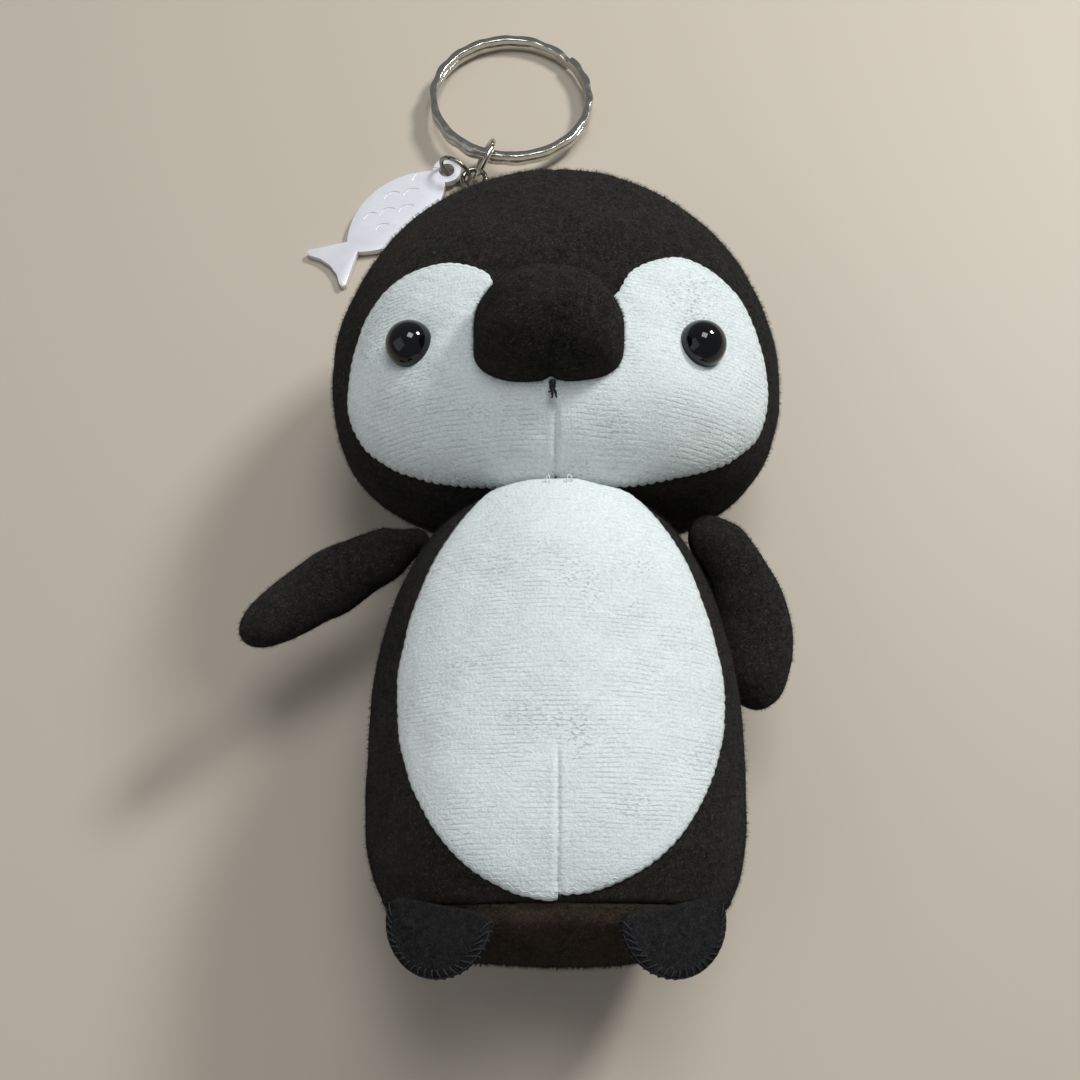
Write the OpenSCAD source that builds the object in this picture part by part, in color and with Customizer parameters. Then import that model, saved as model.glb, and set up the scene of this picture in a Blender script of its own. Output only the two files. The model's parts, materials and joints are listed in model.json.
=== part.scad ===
// Small plush penguin keychain, lying on its back.
// +X: to the right as one looks down on its front.  +Y: towards the top of the head.
// +Z: out of its belly.  The origin is the middle of the flat of its back.

/* [Head] */
// Half the width of the head
head_half_w = 35.6; // [34:0.1:36.5]
// Height of the head's widest place above the base
head_mid_y = 88.5; // [87:0.5:90]
// Height of the top of the head above the base
head_top_y = 125; // [124:0.5:126]
// Height of the underside of the head above the base
head_low_y = 61.5; // [61.5:0.25:62]
// How far the face stands in front of the head's middle
head_front = 26; // [25:0.5:27]

/* [Body] */
// Half the greatest width of the body
body_half_w = 27; // [26:0.25:27.5]
// Height of the body's widest place
body_mid_y = 27; // [24:1:30]
// How far the belly stands in front of the body's middle
body_front = 24.5; // [24:0.5:25]
// Height of the seam round the base
base_seam_y = 6; // [5:0.5:7]

/* [Neck] */
// Height of the centre that the neck turns and nods about
neck_y = 42; // [41:0.5:43]
// Radius of the stuffed dome that fills the neck
neck_dome_r = 22; // [21.8:0.05:22]

/* [Beak] */
// Half the width of the beak
beak_half_w = 10.8; // [10:0.1:11]
// Half the height of the beak
beak_half_h = 8.6; // [8:0.1:9]
// How far the beak stands off the face
beak_out = 10; // [9:0.25:10.5]

/* [Eyes] */
// Radius of an eye's dome
eye_r = 3.15; // [3:0.05:3.3]
// Distance from the centre line to an eye
eye_x = 20.6; // [20.2:0.1:21]
// Height of the eyes above the base
eye_y = 82.4; // [82:0.2:83]

/* [Flippers] */
// Length from the shoulder pivot to the tip's centre
flipper_len = 20; // [19:0.5:20]
// Half the width of a flipper
flipper_half_w = 5.2; // [5:0.1:5.3]
// Half the thickness of a flipper
flipper_half_t = 4.2; // [4:0.1:4.3]
// Angle of the left flipper below straight out
flipper_left_drop = 31; // [30:1:33]
// Angle of the right flipper below straight out
flipper_right_drop = 74; // [73:0.5:74]

/* [Feet] */
// Half the width of a foot flap
foot_half_w = 7; // [6.8:0.1:7.2]
// Length of a foot flap from its seam to its rim
foot_len = 7.4; // [7.2:0.1:7.8]
// Thickness of the two felt layers of a foot
foot_t = 1.6; // [1.4:0.1:1.8]

/* [Hardware] */
// Outer radius of the split ring
split_r = 16; // [15.8:0.1:16.2]
// Radial thickness of the split ring's strip
split_wall = 1.4; // [1.3:0.05:1.5]
// Axial thickness of its two turns together
split_h = 2.8; // [2.6:0.1:3]
// Radius of the wire of the jump ring
jump_wire_r = 0.55; // [0.5:0.01:0.58]
// Mean radius of the jump ring
jump_r = 3.8; // [3.75:0.01:3.85]
// Thickness of the fish tag
tag_t = 1.3; // [1.2:0.05:1.4]

/* [Fabric] */
// Thickness of the fleece
skin_t = 1.1; // [1:0.05:1.2]
// Thickness of the white knit patches
patch_t = 0.7; // [0.6:0.05:0.8]

/* [Hidden] */

rest_y = 34;               // height of the origin above the base
mid_z = 24.5;              // height of the body's and head's middle above the back
back_bulge = 26;           // rear half depth before the back is pressed flat
skin_sides = 44;           // corners round a stuffed form
skin_rings = 24;           // rings along a stuffed form
eye_gap = 0.05;            // clearance of an eye in the cloth
side_seam_z = 21;          // height of the seam between front and back panels
charcoal = "#2b2320";
knit_white = "#dcdfd8";
filling = "#f2f0ea";
steel = "#8f8d86";

// ---- smooth stuffed forms -------------------------------------------------

// Height of a superellipse of exponent p at t, for t from -1 to 1
function round_off(t, p) = pow(max(0, 1 - pow(abs(t), p)), 1 / p);

// Radius in direction a of a unit superellipse of exponent p
function squircle(a, p) = pow(pow(abs(cos(a)), p) + pow(abs(sin(a)), p), -1 / p);

// One point of a form [low, mid, high, half_w, front, back, p_low, p_high, p_round]
// at the share t of its height, from -1 to 1, and direction a, grown by g
function form_point(f, t, a, g) =
    let (y = f[1] + t * (t < 0 ? f[1] - f[0] + g : f[2] - f[1] + g),
         k = round_off(t, t < 0 ? f[6] : f[7]),
         r = squircle(a, f[8]),
         z = r * sin(a) * k * ((sin(a) > 0 ? f[4] : f[5]) + g))
    [r * cos(a) * k * (f[3] + g), y, max(mid_z + z, -g)];

// The whole form as one closed surface, grown by g and pressed flat on the back
module stuffed(f, g = 0, sides = skin_sides, rings = skin_rings) {
    ts = [for (i = [1 : rings - 1]) -cos(180 * i / rings)];
    body = [for (t = ts, j = [0 : sides - 1]) form_point(f, t, 360 * j / sides, g)];
    low = len(body);
    points = concat(body, [[0, f[0] - g, mid_z], [0, f[2] + g, mid_z]]);
    quads = [for (i = [0 : rings - 3], j = [0 : sides - 1])
        let (n = (j + 1) % sides)
        [i * sides + j, i * sides + n, (i + 1) * sides + n, (i + 1) * sides + j]];
    top = (rings - 2) * sides;
    fans = concat([for (j = [0 : sides - 1]) [low, (j + 1) % sides, j]],
                  [for (j = [0 : sides - 1]) [low + 1, top + j, top + (j + 1) % sides]]);
    polyhedron(points, concat([for (q = quads) [q[0], q[1], q[2]]],
                              [for (q = quads) [q[0], q[2], q[3]]], fans), convexity = 6);
}

// Put a shape given by heights above the base into the part's frame
module placed() {
    translate([0, -rest_y, 0]) children();
}

head_form = [head_low_y, head_mid_y, head_top_y, head_half_w, head_front, back_bulge, 2.9, 1.85, 2.15];
body_form = [0, body_mid_y, 66, body_half_w, body_front, back_bulge, 3.4, 2.6, 2.2];

// Everything in front of the height z
module front_of(z) {
    translate([-60, -60, z]) cube([120, 260, 80]);
}

module back_of(z) {
    translate([-60, -60, z - 80]) cube([120, 260, 80]);
}

module above(y) {
    translate([-60, y, -10]) cube([120, 200, 90]);
}

module below(y) {
    translate([-60, y - 200, -10]) cube([120, 200, 90]);
}

// ---- neck ---------------------------------------------------------------

thread_r = 0.3;            // radius of the neck's sewing thread
thread_seat = neck_dome_r + 0.2 + thread_r;
head_hollow_r = thread_seat + thread_r + 0.2;
neck_angle = 27.5;         // half angle of the neck seam seen from the turning centre

module neck_ball(r) {
    translate([0, neck_y, mid_z]) sphere(r, $fn = 72);
}

module neck_thread() {
    color(charcoal) placed()
    translate([0, neck_y + thread_seat * cos(neck_angle), mid_z]) rotate([-90, 0, 0])
    rotate_extrude($fn = 64) translate([thread_seat * sin(neck_angle), 0]) circle(thread_r, $fn = 16);
}

// ---- body ---------------------------------------------------------------

crease_low = 60;           // height at which the body stops under the head
crease_slope = 2;          // rise of the crease towards the front and back

// The part of the body that the head must clear as it nods
module crease() {
    for (s = [1, -1])
    translate([0, crease_low, mid_z]) rotate([s * crease_slope, 0, 0])
    translate([-60, 0, s > 0 ? -60 : 0]) cube([120, 60, 60]);
}

module body_solid(g = 0) {
    difference() {
        stuffed(body_form, g);
        translate([0, g, 0]) crease();
    }
    intersection() {
        neck_ball(neck_dome_r + g);
        above(crease_low - 3);
    }
}

module body_shell() {
    difference() {
        body_solid();
        body_solid(-skin_t);
    }
}

module body_front_panel() {
    color(charcoal) placed() intersection() {
        body_shell();
        front_of(side_seam_z);
        above(base_seam_y);
    }
}

module body_back_panel() {
    color(charcoal) placed() intersection() {
        body_shell();
        back_of(side_seam_z);
        above(base_seam_y);
    }
}

module base_panel() {
    color(charcoal) placed() intersection() {
        body_shell();
        below(base_seam_y);
    }
}

module body_stuffing() {
    color(filling) placed() body_solid(-skin_t);
}

belly_low = 8;             // lowest point of the belly patch
belly_mid = 30;            // height of its widest place
belly_high = 63;           // its top, cut off by the crease under the chin
belly_half_w = 21.4;

module egg(low, mid, high, half_w, sides = 48) {
    polygon([for (i = [0 : sides - 1])
        let (a = 360 * i / sides)
        [half_w * cos(a), mid + sin(a) * (sin(a) > 0 ? high - mid : mid - low)]]);
}

module belly_patch() {
    color(knit_white) placed() intersection() {
        difference() {
            stuffed(body_form, patch_t);
            stuffed(body_form);
            translate([0, -0.2, 0]) crease();
        }
        translate([0, 0, mid_z + 6]) linear_extrude(40) egg(belly_low, belly_mid, belly_high, belly_half_w);
    }
}

// ---- head ---------------------------------------------------------------

module head_solid(g = 0) {
    difference() {
        stuffed(head_form, g);
        neck_ball(head_hollow_r - g);
    }
}

module head_shell() {
    difference() {
        head_solid();
        head_solid(-skin_t);
    }
}

module half_space(s) {
    translate([s > 0 ? 0 : -80, -60, -10]) cube([80, 260, 90]);
}

module head_front_half(s) {
    color(charcoal) placed() difference() {
        intersection() {
            head_shell();
            front_of(side_seam_z);
            half_space(s);
        }
        eye_shank(s, eye_gap);
        eye_dome(s, eye_gap);
    }
}

module head_front_left() head_front_half(-1);
module head_front_right() head_front_half(1);

module head_back() {
    color(charcoal) placed() intersection() {
        head_shell();
        back_of(side_seam_z);
    }
}

module head_stuffing() {
    color(filling) placed() difference() {
        head_solid(-skin_t);
        for (s = [-1, 1]) {
            eye_shank(s, eye_gap);
            eye_dome(s, eye_gap);
            eye_washer_solid(s, eye_gap);
        }
    }
}

mask_low = 63;             // lowest point of the white mask
mask_wide = 82.9;          // height at which it is widest
mask_high = 95.2;          // top of its round lobes
mask_edge = 32.7;          // distance from the centre seam to its side

// One half of the white mask: a round lobe over the eye, tapering to the chin
module mask_half() {
    polygon([for (a = [0 : 6 : 180])
        let (r = squircle(a, 2.2))
        [16 + (mask_edge - 16) * r * cos(a), mask_wide + (mask_high - mask_wide) * r * sin(a)]]);
    polygon(concat([[-1, mask_wide + 1], [-1, 65]], [for (a = [-90 : 6 : 0])
        let (r = squircle(a, 1.5))
        [11.5 + (mask_edge - 11.5) * r * cos(a), mask_wide + (mask_wide - mask_low) * r * sin(a)]]));
}

module face_patch_half(s) {
    color(knit_white) placed() difference() {
        intersection() {
            stuffed(head_form, patch_t);
            translate([0, 0, mid_z + 2]) linear_extrude(50) mirror([s > 0 ? 0 : 1, 0]) mask_half();
            half_space(s);
        }
        stuffed(head_form);
        neck_ball(head_hollow_r + 1);
        beak_form(0);
        eye_dome(s, eye_gap);
        eye_shank(s, eye_gap);
    }
}

module face_patch_left() face_patch_half(-1);
module face_patch_right() face_patch_half(1);

// ---- beak ---------------------------------------------------------------

beak_x = -0.7;             // the beak sits a little to one side
beak_y = 82;               // height of the beak's middle
beak_sink = 2.5;           // how far the half ball goes into the face

module beak_form(g) {
    translate([beak_x, beak_y, mid_z + head_front - beak_sink])
    scale([beak_half_w + g, beak_half_h + g, beak_out + beak_sink + g]) sphere(1, $fn = 36);
}

module beak_cover() {
    color(charcoal) placed() difference() {
        beak_form(0);
        beak_form(-skin_t);
        stuffed(head_form);
    }
}

module beak_stuffing() {
    color(filling) placed() difference() {
        beak_form(-skin_t);
        stuffed(head_form);
    }
}

module beak_knot() {
    color(charcoal) placed()
    translate([beak_x, beak_y - beak_half_h - 1.1, mid_z + head_front + patch_t + 0.35])
    rotate([90, 0, 0]) rotate_extrude($fn = 32) translate([0.5, 0]) circle(0.4, $fn = 16);
}

// ---- eyes ---------------------------------------------------------------

shank_r = 1.1;             // radius of an eye's plastic stalk
shank_len = 6;
eye_seat_z = mid_z + 20.9; // height of the fabric at an eye
eye_turn = 27;             // how far an eye faces to its side

module at_eye(s) {
    translate([s * eye_x, eye_y, eye_seat_z]) rotate([0, s * eye_turn, 0]) children();
}

module eye_dome(s, g = 0) {
    at_eye(s) rotate_extrude($fn = 48)
    intersection() {
        union() {
            translate([0, -0.5 - g]) square([eye_r + g, 1 + 2 * g]);
            translate([0, 0.2]) circle(eye_r + g, $fn = 64);
        }
        translate([0, -0.5 - g]) square([5, 6]);
    }
}

module eye_shank(s, g = 0) {
    at_eye(s) translate([0, 0, -shank_len - g]) cylinder(r = shank_r + g, h = shank_len + g, $fn = 32);
}

module eye_solid(s) {
    color("#050505") placed() {
        eye_dome(s);
        eye_shank(s);
    }
}

module eye_left() eye_solid(-1);
module eye_right() eye_solid(1);

module eye_washer_solid(s, g = 0) {
    at_eye(s) translate([0, 0, -4.6 - g]) cylinder(r = 3.6 + g, h = 1.2 + 2 * g, $fn = 48);
}

module eye_washer(s) {
    color("#e8e8e4") placed() difference() {
        eye_washer_solid(s);
        eye_shank(s);
    }
}

module eye_washer_left() eye_washer(-1);
module eye_washer_right() eye_washer(1);

// ---- flippers -----------------------------------------------------------

shoulder_y = 58.5;         // height of the shoulder pivots
shoulder_z = 25;
root_r = 3.2;              // half width of a flipper at its shoulder
left_roll = 75;            // turn of the left flipper about its own length
right_roll = -10;
left_shoulder_x = -25.6;
right_shoulder_x = 27;

// Half width of a flipper at the distance d along it
function flipper_w(d, g) =
    d < 0 ? (root_r + g) * round_off(d / (root_r + g), 2)
    : d > flipper_len ? (flipper_half_w + g) * round_off((d - flipper_len) / (flipper_half_w + g), 2)
    : root_r + g + (flipper_half_w - root_r) * sin(90 * d / flipper_len);

module flipper_form(g) {
    sides = 24;
    rings = 20;
    from = -root_r - g;
    to = flipper_len + flipper_half_w + g;
    ds = [for (i = [1 : rings - 1]) (from + to) / 2 - (to - from) / 2 * cos(180 * i / rings)];
    flat = (flipper_half_t + g) / (flipper_half_w + g);
    ring_points = [for (d = ds, j = [0 : sides - 1])
        let (a = 360 * j / sides, w = flipper_w(d, g))
        [d, w * cos(a), w * (d < 0 ? 1 : 1 - (1 - flat) * min(1, d / 8)) * sin(a)]];
    low = len(ring_points);
    top = (rings - 2) * sides;
    faces = concat(
        [for (i = [0 : rings - 3], j = [0 : sides - 1])
            [i * sides + j, (i + 1) * sides + (j + 1) % sides, i * sides + (j + 1) % sides]],
        [for (i = [0 : rings - 3], j = [0 : sides - 1])
            [i * sides + j, (i + 1) * sides + j, (i + 1) * sides + (j + 1) % sides]],
        [for (j = [0 : sides - 1]) [low, j, (j + 1) % sides]],
        [for (j = [0 : sides - 1]) [low + 1, top + (j + 1) % sides, top + j]]);
    polyhedron(concat(ring_points, [[from, 0, 0], [to, 0, 0]]), faces, convexity = 4);
}

module at_shoulder(s) {
    translate([s < 0 ? left_shoulder_x : right_shoulder_x, shoulder_y, shoulder_z])
    rotate([0, 0, s < 0 ? 180 + flipper_left_drop : -flipper_right_drop])
    rotate([s < 0 ? left_roll : right_roll, 0, 0]) children();
}

module flipper_cover(s) {
    color(charcoal) placed() at_shoulder(s) difference() {
        flipper_form(0);
        flipper_form(-skin_t);
    }
}

module flipper_stuffing(s) {
    color(filling) placed() at_shoulder(s) flipper_form(-skin_t);
}

module flipper_left_cover() flipper_cover(-1);
module flipper_right_cover() flipper_cover(1);
module flipper_left_stuffing() flipper_stuffing(-1);
module flipper_right_stuffing() flipper_stuffing(1);

// ---- feet ---------------------------------------------------------------

foot_x = 13.6;             // distance from the centre line to a foot's middle
foot_y = 5.6;              // height of a foot's seam above the base
foot_z = 43.2;             // height of a foot's seam above the back
foot_turn = 22;            // how far a foot faces to its side, as the front of the base does

module foot(s) {
    square_len = foot_len - foot_half_w;
    color(charcoal) placed()
    translate([s * foot_x, foot_y, foot_z]) rotate([0, s * foot_turn, 0])
    linear_extrude(foot_t) union() {
        intersection() {
            translate([0, -square_len]) circle(foot_half_w, $fn = 64);
            translate([-2 * foot_half_w, -2 * foot_half_w - square_len]) square([4 * foot_half_w, 2 * foot_half_w]);
        }
        translate([-foot_half_w, -square_len]) square([2 * foot_half_w, square_len]);
    }
}

module foot_left() foot(-1);
module foot_right() foot(1);

// ---- keychain hardware --------------------------------------------------

split_x = -8.8;            // centre of the split ring
split_y = 161.8;
split_lean = -5;           // slope of the split ring, raised where the jump ring holds it
jump_dir = 252;            // direction from the split ring's centre to the jump ring
jump_z = 4.45;             // height of the jump ring's centre
jump_lean = 24;            // how far the jump ring leans over, seen along its own radius
strip_mid = split_r - split_wall / 2;
jump_out = strip_mid + 1.15;   // distance between the two rings' centres

radial = [cos(jump_dir), sin(jump_dir), 0];
jump_up = [-sin(jump_dir) * sin(jump_lean), cos(jump_dir) * sin(jump_lean), cos(jump_lean)];
jump_at = [split_x, split_y, jump_z] + jump_out * radial;

module torus(mean_r, wire_r) {
    rotate_extrude($fn = 64) translate([mean_r, 0]) circle(wire_r, $fn = 24);
}

// Turn X to the direction a round Z
function heading(a) = [cos(a), sin(a), 0];

// Origin at the jump ring's centre, X away from the split ring, Z through the jump ring's hole
module at_jump() {
    translate(jump_at) rotate([0, 0, jump_dir]) rotate([90 - jump_lean, 0, 0]) children();
}

module jump_ring() {
    color(steel) placed() at_jump() torus(jump_r, jump_wire_r);
}

// The two turns of the split ring's strip, pressed together
module split_ring() {
    color(steel) placed()
    translate(jump_at) rotate([0, 0, jump_dir]) rotate([0, split_lean, 0])
    translate([-jump_out, 0, 0])
    difference() {
        translate([0, 0, -split_h / 2]) cylinder(r = split_r, h = split_h, $fn = 96);
        translate([0, 0, -split_h]) cylinder(r = split_r - split_wall, h = 2 * split_h, $fn = 96);
    }
}

eye_wire_r = 0.5;          // radius of the swivel pin's wire
eye_loop_r = 2.2;          // mean radius of its eye
swivel_dir = -42;          // direction of the swivel's axis, from its eye to its bell
jump_hold = -10;           // place on the jump ring that the swivel's eye hangs on
held_wire = jump_at + jump_r * (cos(jump_hold) * radial + sin(jump_hold) * jump_up);
swivel_at = held_wire - 0.7 * heading(58);

// Origin at the centre of the swivel pin's eye, X along the swivel's axis
module at_swivel() {
    translate(swivel_at) rotate([0, 0, swivel_dir]) children();
}

pin_r = 0.6;               // radius of the pin inside the bell
pin_play = 0.06;           // running clearance of the pin in the bell
bell_from = 2.9;           // distance from the eye's centre to the bell's flange
bell_len = 5.2;
pin_head_r = 1.1;

module swivel_pin() {
    color(steel) placed() at_swivel() {
        torus(eye_loop_r, eye_wire_r);
        translate([eye_loop_r, 0, 0]) rotate([0, 90, 0])
        cylinder(r = pin_r, h = bell_from + 2.4 - eye_loop_r, $fn = 32);
        translate([bell_from + 1.6, 0, 0]) rotate([0, 90, 0]) cylinder(r = pin_head_r, h = 0.8, $fn = 32);
    }
}

bell_loop_r = 1.7;         // mean radius of the loop at the bell's small end
bell_loop_x = bell_from + bell_len + bell_loop_r;
link_wire_r = 0.5;

module swivel_bell() {
    color(steel) placed() at_swivel() difference() {
        union() {
            translate([bell_from, 0, 0]) rotate([0, 90, 0])
            rotate_extrude($fn = 48) polygon([[0, 0], [2.3, 0], [2.3, 0.45], [1.95, 0.7], [1.95, 0.9],
                [2.1, 1.1], [2.1, 1.6], [1.9, 3.2], [1.5, 4.4], [0.9, 5.2], [0, 5.4]]);
            translate([bell_loop_x, 0, 0]) torus(bell_loop_r, link_wire_r);
        }
        translate([bell_from - 1, 0, 0]) rotate([0, 90, 0]) cylinder(r = pin_r + pin_play, h = 3, $fn = 32);
        translate([bell_from + 1.5, 0, 0]) rotate([0, 90, 0]) cylinder(r = pin_head_r + 0.1, h = 1, $fn = 32);
    }
}

link_r = 3.2;              // mean radius of the link ring
link_dir = -52;            // direction from the swivel to the ribbon loop
link_at = swivel_at + (bell_loop_x + 0.5) * heading(swivel_dir);

// Origin at the link ring's wire in the bell's loop, X towards the ribbon
module at_link() {
    translate(link_at) rotate([0, 0, link_dir]) children();
}

module link_ring() {
    color(steel) placed() at_link() translate([link_r, 0, 0]) rotate([90, 0, 0]) torus(link_r, link_wire_r);
}

ribbon_w = 3;              // width of the ribbon
ribbon_t = 0.45;           // its thickness
ribbon_hole_r = 1.1;       // radius inside its fold
ribbon_len = 12;           // from its fold to its ends, sewn in the head's top seam

module ribbon_slot(r, h) {
    translate([0, 0, -h / 2]) hull() {
        cylinder(r = r, h = h, $fn = 32);
        translate([ribbon_len, 0, 0]) cylinder(r = r - 0.5, h = h, $fn = 32);
    }
}

// A ribbon folded through the link ring
module hanging_loop() {
    color(charcoal) placed() difference() {
        at_link() translate([2 * link_r - 0.2, 0, 0]) difference() {
            ribbon_slot(ribbon_hole_r + ribbon_t, ribbon_w);
            ribbon_slot(ribbon_hole_r, 2 * ribbon_w);
        }
        stuffed(head_form);
    }
}

tag_ring_r = 3.2;          // mean radius of the tag's ring
tag_wire_r = 0.4;
tag_ring_dir = 150;        // direction of the tag's ring from the swivel's eye
tag_ring_z = tag_ring_r + tag_wire_r + 0.1;
tag_hole_r = 1.5;
tag_nose_r = 2.7;          // radius of the tag's round nose
tag_drop = 1.88;           // height of the tag ring's centre above the tag's middle
tag_held = swivel_at + 1 * heading(tag_ring_dir);
tag_reach = sqrt(pow(tag_ring_r, 2) - pow(tag_ring_z - tag_held[2], 2));
tag_ring_at = [tag_held[0], tag_held[1], tag_ring_z] + tag_reach * heading(tag_ring_dir);

module tag_ring() {
    color(steel) placed()
    translate(tag_ring_at) rotate([0, 0, tag_ring_dir]) rotate([90, 0, 0]) torus(tag_ring_r, tag_wire_r);
}

tag_dir = 224;             // direction in which the fish lies, from nose to tail
tag_slope = 2.1;           // its tail rests on the ground and its nose on the ring
tag_at = tag_ring_at + (tag_hole_r + tag_nose_r) / 2 * heading(tag_ring_dir) - [0, 0, tag_drop];

module at_tag() {
    translate(tag_at) rotate([0, 0, tag_dir]) rotate([0, tag_slope, 0]) children();
}

body_arc_r = 15.8;         // radius of each side of the fish's pointed body
body_arc_off = 9.6;        // how far the centre of that arc is off its middle line
tag_body_x = 13;           // distance from the hole to the middle of the body

// Round nose, pointed oval body and forked tail, cut from sheet
module fish_outline() {
    circle(tag_nose_r, $fn = 48);
    intersection() {
        translate([tag_body_x, -body_arc_off]) circle(body_arc_r, $fn = 96);
        translate([tag_body_x, body_arc_off]) circle(body_arc_r, $fn = 96);
        translate([-1, -10]) square([26, 20]);
    }
    polygon([[22, -2], [24, -1.5], [31, -5.4], [29.2, 0], [31, 5.4], [24, 1.5], [22, 2]]);
}

module fish_tag() {
    color("#c9c8c6") placed() at_tag() translate([0, 0, -tag_t / 2]) difference() {
        linear_extrude(tag_t) fish_outline();
        translate([0, 0, -1]) cylinder(r = tag_hole_r, h = tag_t + 2, $fn = 32);
    }
}

body_front_panel();
body_back_panel();
base_panel();
belly_patch();
body_stuffing();
neck_thread();
head_front_left();
head_front_right();
head_back();
face_patch_left();
face_patch_right();
head_stuffing();
beak_cover();
beak_stuffing();
beak_knot();
eye_left();
eye_right();
eye_washer_left();
eye_washer_right();
hanging_loop();
flipper_left_cover();
flipper_left_stuffing();
flipper_right_cover();
flipper_right_stuffing();
foot_left();
foot_right();
link_ring();
swivel_bell();
swivel_pin();
jump_ring();
split_ring();
tag_ring();
fish_tag();
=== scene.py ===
"""A small plush penguin on a key ring, lying on its back.

Sizes are in millimetres, in the penguin's own terms: x to the right, y the height above its base and z the
height above its back. settle() puts a finished mesh in the frame, in metres.
"""

import sys
import json
import logging
import math
from collections.abc import Callable, Iterable, Iterator
from contextlib import contextmanager
from dataclasses import dataclass, field
from enum import Enum

import bpy
import numpy as np
from mathutils import Matrix, Vector
from mathutils.bvhtree import BVHTree

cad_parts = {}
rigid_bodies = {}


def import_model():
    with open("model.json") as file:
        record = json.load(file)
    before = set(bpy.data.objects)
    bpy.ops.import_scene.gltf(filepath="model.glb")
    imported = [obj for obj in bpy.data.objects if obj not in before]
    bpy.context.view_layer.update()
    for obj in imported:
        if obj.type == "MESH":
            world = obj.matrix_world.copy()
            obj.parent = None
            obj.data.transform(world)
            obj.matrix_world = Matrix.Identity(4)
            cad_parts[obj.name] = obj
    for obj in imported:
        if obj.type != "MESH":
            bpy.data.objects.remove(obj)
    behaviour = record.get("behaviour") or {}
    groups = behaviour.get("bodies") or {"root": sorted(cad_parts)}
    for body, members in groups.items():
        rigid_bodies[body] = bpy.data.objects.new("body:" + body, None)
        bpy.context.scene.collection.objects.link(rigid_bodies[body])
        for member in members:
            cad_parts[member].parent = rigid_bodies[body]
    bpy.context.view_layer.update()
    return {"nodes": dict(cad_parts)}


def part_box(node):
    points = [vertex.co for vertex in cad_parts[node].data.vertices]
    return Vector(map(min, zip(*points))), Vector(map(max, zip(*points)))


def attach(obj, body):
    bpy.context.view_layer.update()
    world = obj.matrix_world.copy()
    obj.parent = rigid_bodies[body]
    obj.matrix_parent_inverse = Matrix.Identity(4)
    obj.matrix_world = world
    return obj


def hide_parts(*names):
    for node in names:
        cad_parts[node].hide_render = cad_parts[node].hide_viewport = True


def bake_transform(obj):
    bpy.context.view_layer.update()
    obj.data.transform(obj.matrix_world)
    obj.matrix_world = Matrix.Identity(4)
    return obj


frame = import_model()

LOG = logging.getLogger("penguin")
MM = 0.001
BASE_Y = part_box("base_panel")[0].y  # the base's place in the frame, in metres
MID_Z = 24.5  # height of the middle of body and head above the back
SIM_SCALE = 0.01  # a cover is simulated ten times as large as it is, a millimetre as this many metres
SIM_FRAMES = 20
PINS = 10  # steps in how firmly the simulation holds a point
STRIP_LENGTH = 200  # the split ring's strip before it is coiled

Array = np.ndarray
Obj = bpy.types.Object
Socket = bpy.types.NodeSocket
Colour = tuple[float, float, float]


class Side(Enum):
    """The penguin's two sides, as one looks down on its front."""

    LEFT = -1
    RIGHT = 1

    @property
    def word(self) -> str:
        """The side's name in piece and node names."""
        return self.name.lower()


class Body(Enum):
    """The moving bodies that pieces ride on."""

    TORSO = "torso"
    NECK = "neck"
    HEAD = "head"
    LINK_RING = "link_ring"
    SWIVEL_BELL = "swivel_bell"
    SWIVEL_PIN = "swivel_pin"
    JUMP_RING = "jump_ring"
    SPLIT_RING = "split_ring"
    TAG_RING = "tag_ring"
    FISH_TAG = "fish_tag"


# ---- work on meshes ---------------------------------------------------------


def deselect() -> None:
    """Leave edit mode and deselect everything."""
    if bpy.context.object and bpy.context.object.mode != "OBJECT":
        bpy.ops.object.mode_set(mode="OBJECT")
    bpy.ops.object.select_all(action="DESELECT")


def take(obj: Obj) -> Obj:
    """Select one object alone and make it the active one.

    Args:
        obj: the object to work on.

    Returns:
        The same object.
    """
    deselect()
    obj.select_set(True)
    bpy.context.view_layer.objects.active = obj
    return obj


@contextmanager
def editing(obj: Obj, mode: str = "VERT") -> Iterator[None]:
    """Edit mode on one object, with all of its mesh selected.

    Args:
        obj: the mesh object to edit.
        mode: what is selected: VERT, EDGE or FACE.
    """
    take(obj)
    bpy.ops.object.mode_set(mode="EDIT")
    bpy.ops.mesh.select_mode(type=mode)
    bpy.ops.mesh.select_all(action="SELECT")
    yield
    bpy.ops.object.mode_set(mode="OBJECT")


def apply_modifiers(obj: Obj) -> Obj:
    """Apply every modifier of an object, in order.

    Args:
        obj: the object that has them.

    Returns:
        The same object.
    """
    take(obj)
    for modifier in list(obj.modifiers):
        bpy.ops.object.modifier_apply(modifier=modifier.name)
    return obj


def started(name: str) -> Obj:
    """Name the primitive that was just added, and put its place in its mesh.

    Args:
        name: its new name.

    Returns:
        The primitive.
    """
    obj = bpy.context.object
    obj.name = obj.data.name = name
    bpy.ops.object.transform_apply(location=True, rotation=True, scale=True)
    return obj


def points(obj: Obj) -> Array:
    """The mesh's vertices as an array of rows x, y, z."""
    co = np.zeros(len(obj.data.vertices) * 3)
    obj.data.vertices.foreach_get("co", co)
    return co.reshape(-1, 3)


def move_points(obj: Obj, co: Array) -> None:
    """Put the mesh's vertices where the rows of co say."""
    obj.data.vertices.foreach_set("co", co.ravel())
    obj.data.update()


def vertex_normals(obj: Obj) -> Array:
    """The mesh's vertex normals, as rows."""
    out = np.zeros(len(obj.data.vertices) * 3, np.float32)
    obj.data.vertex_normals.foreach_get("vector", out)
    return out.reshape(-1, 3).astype(float)


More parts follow.
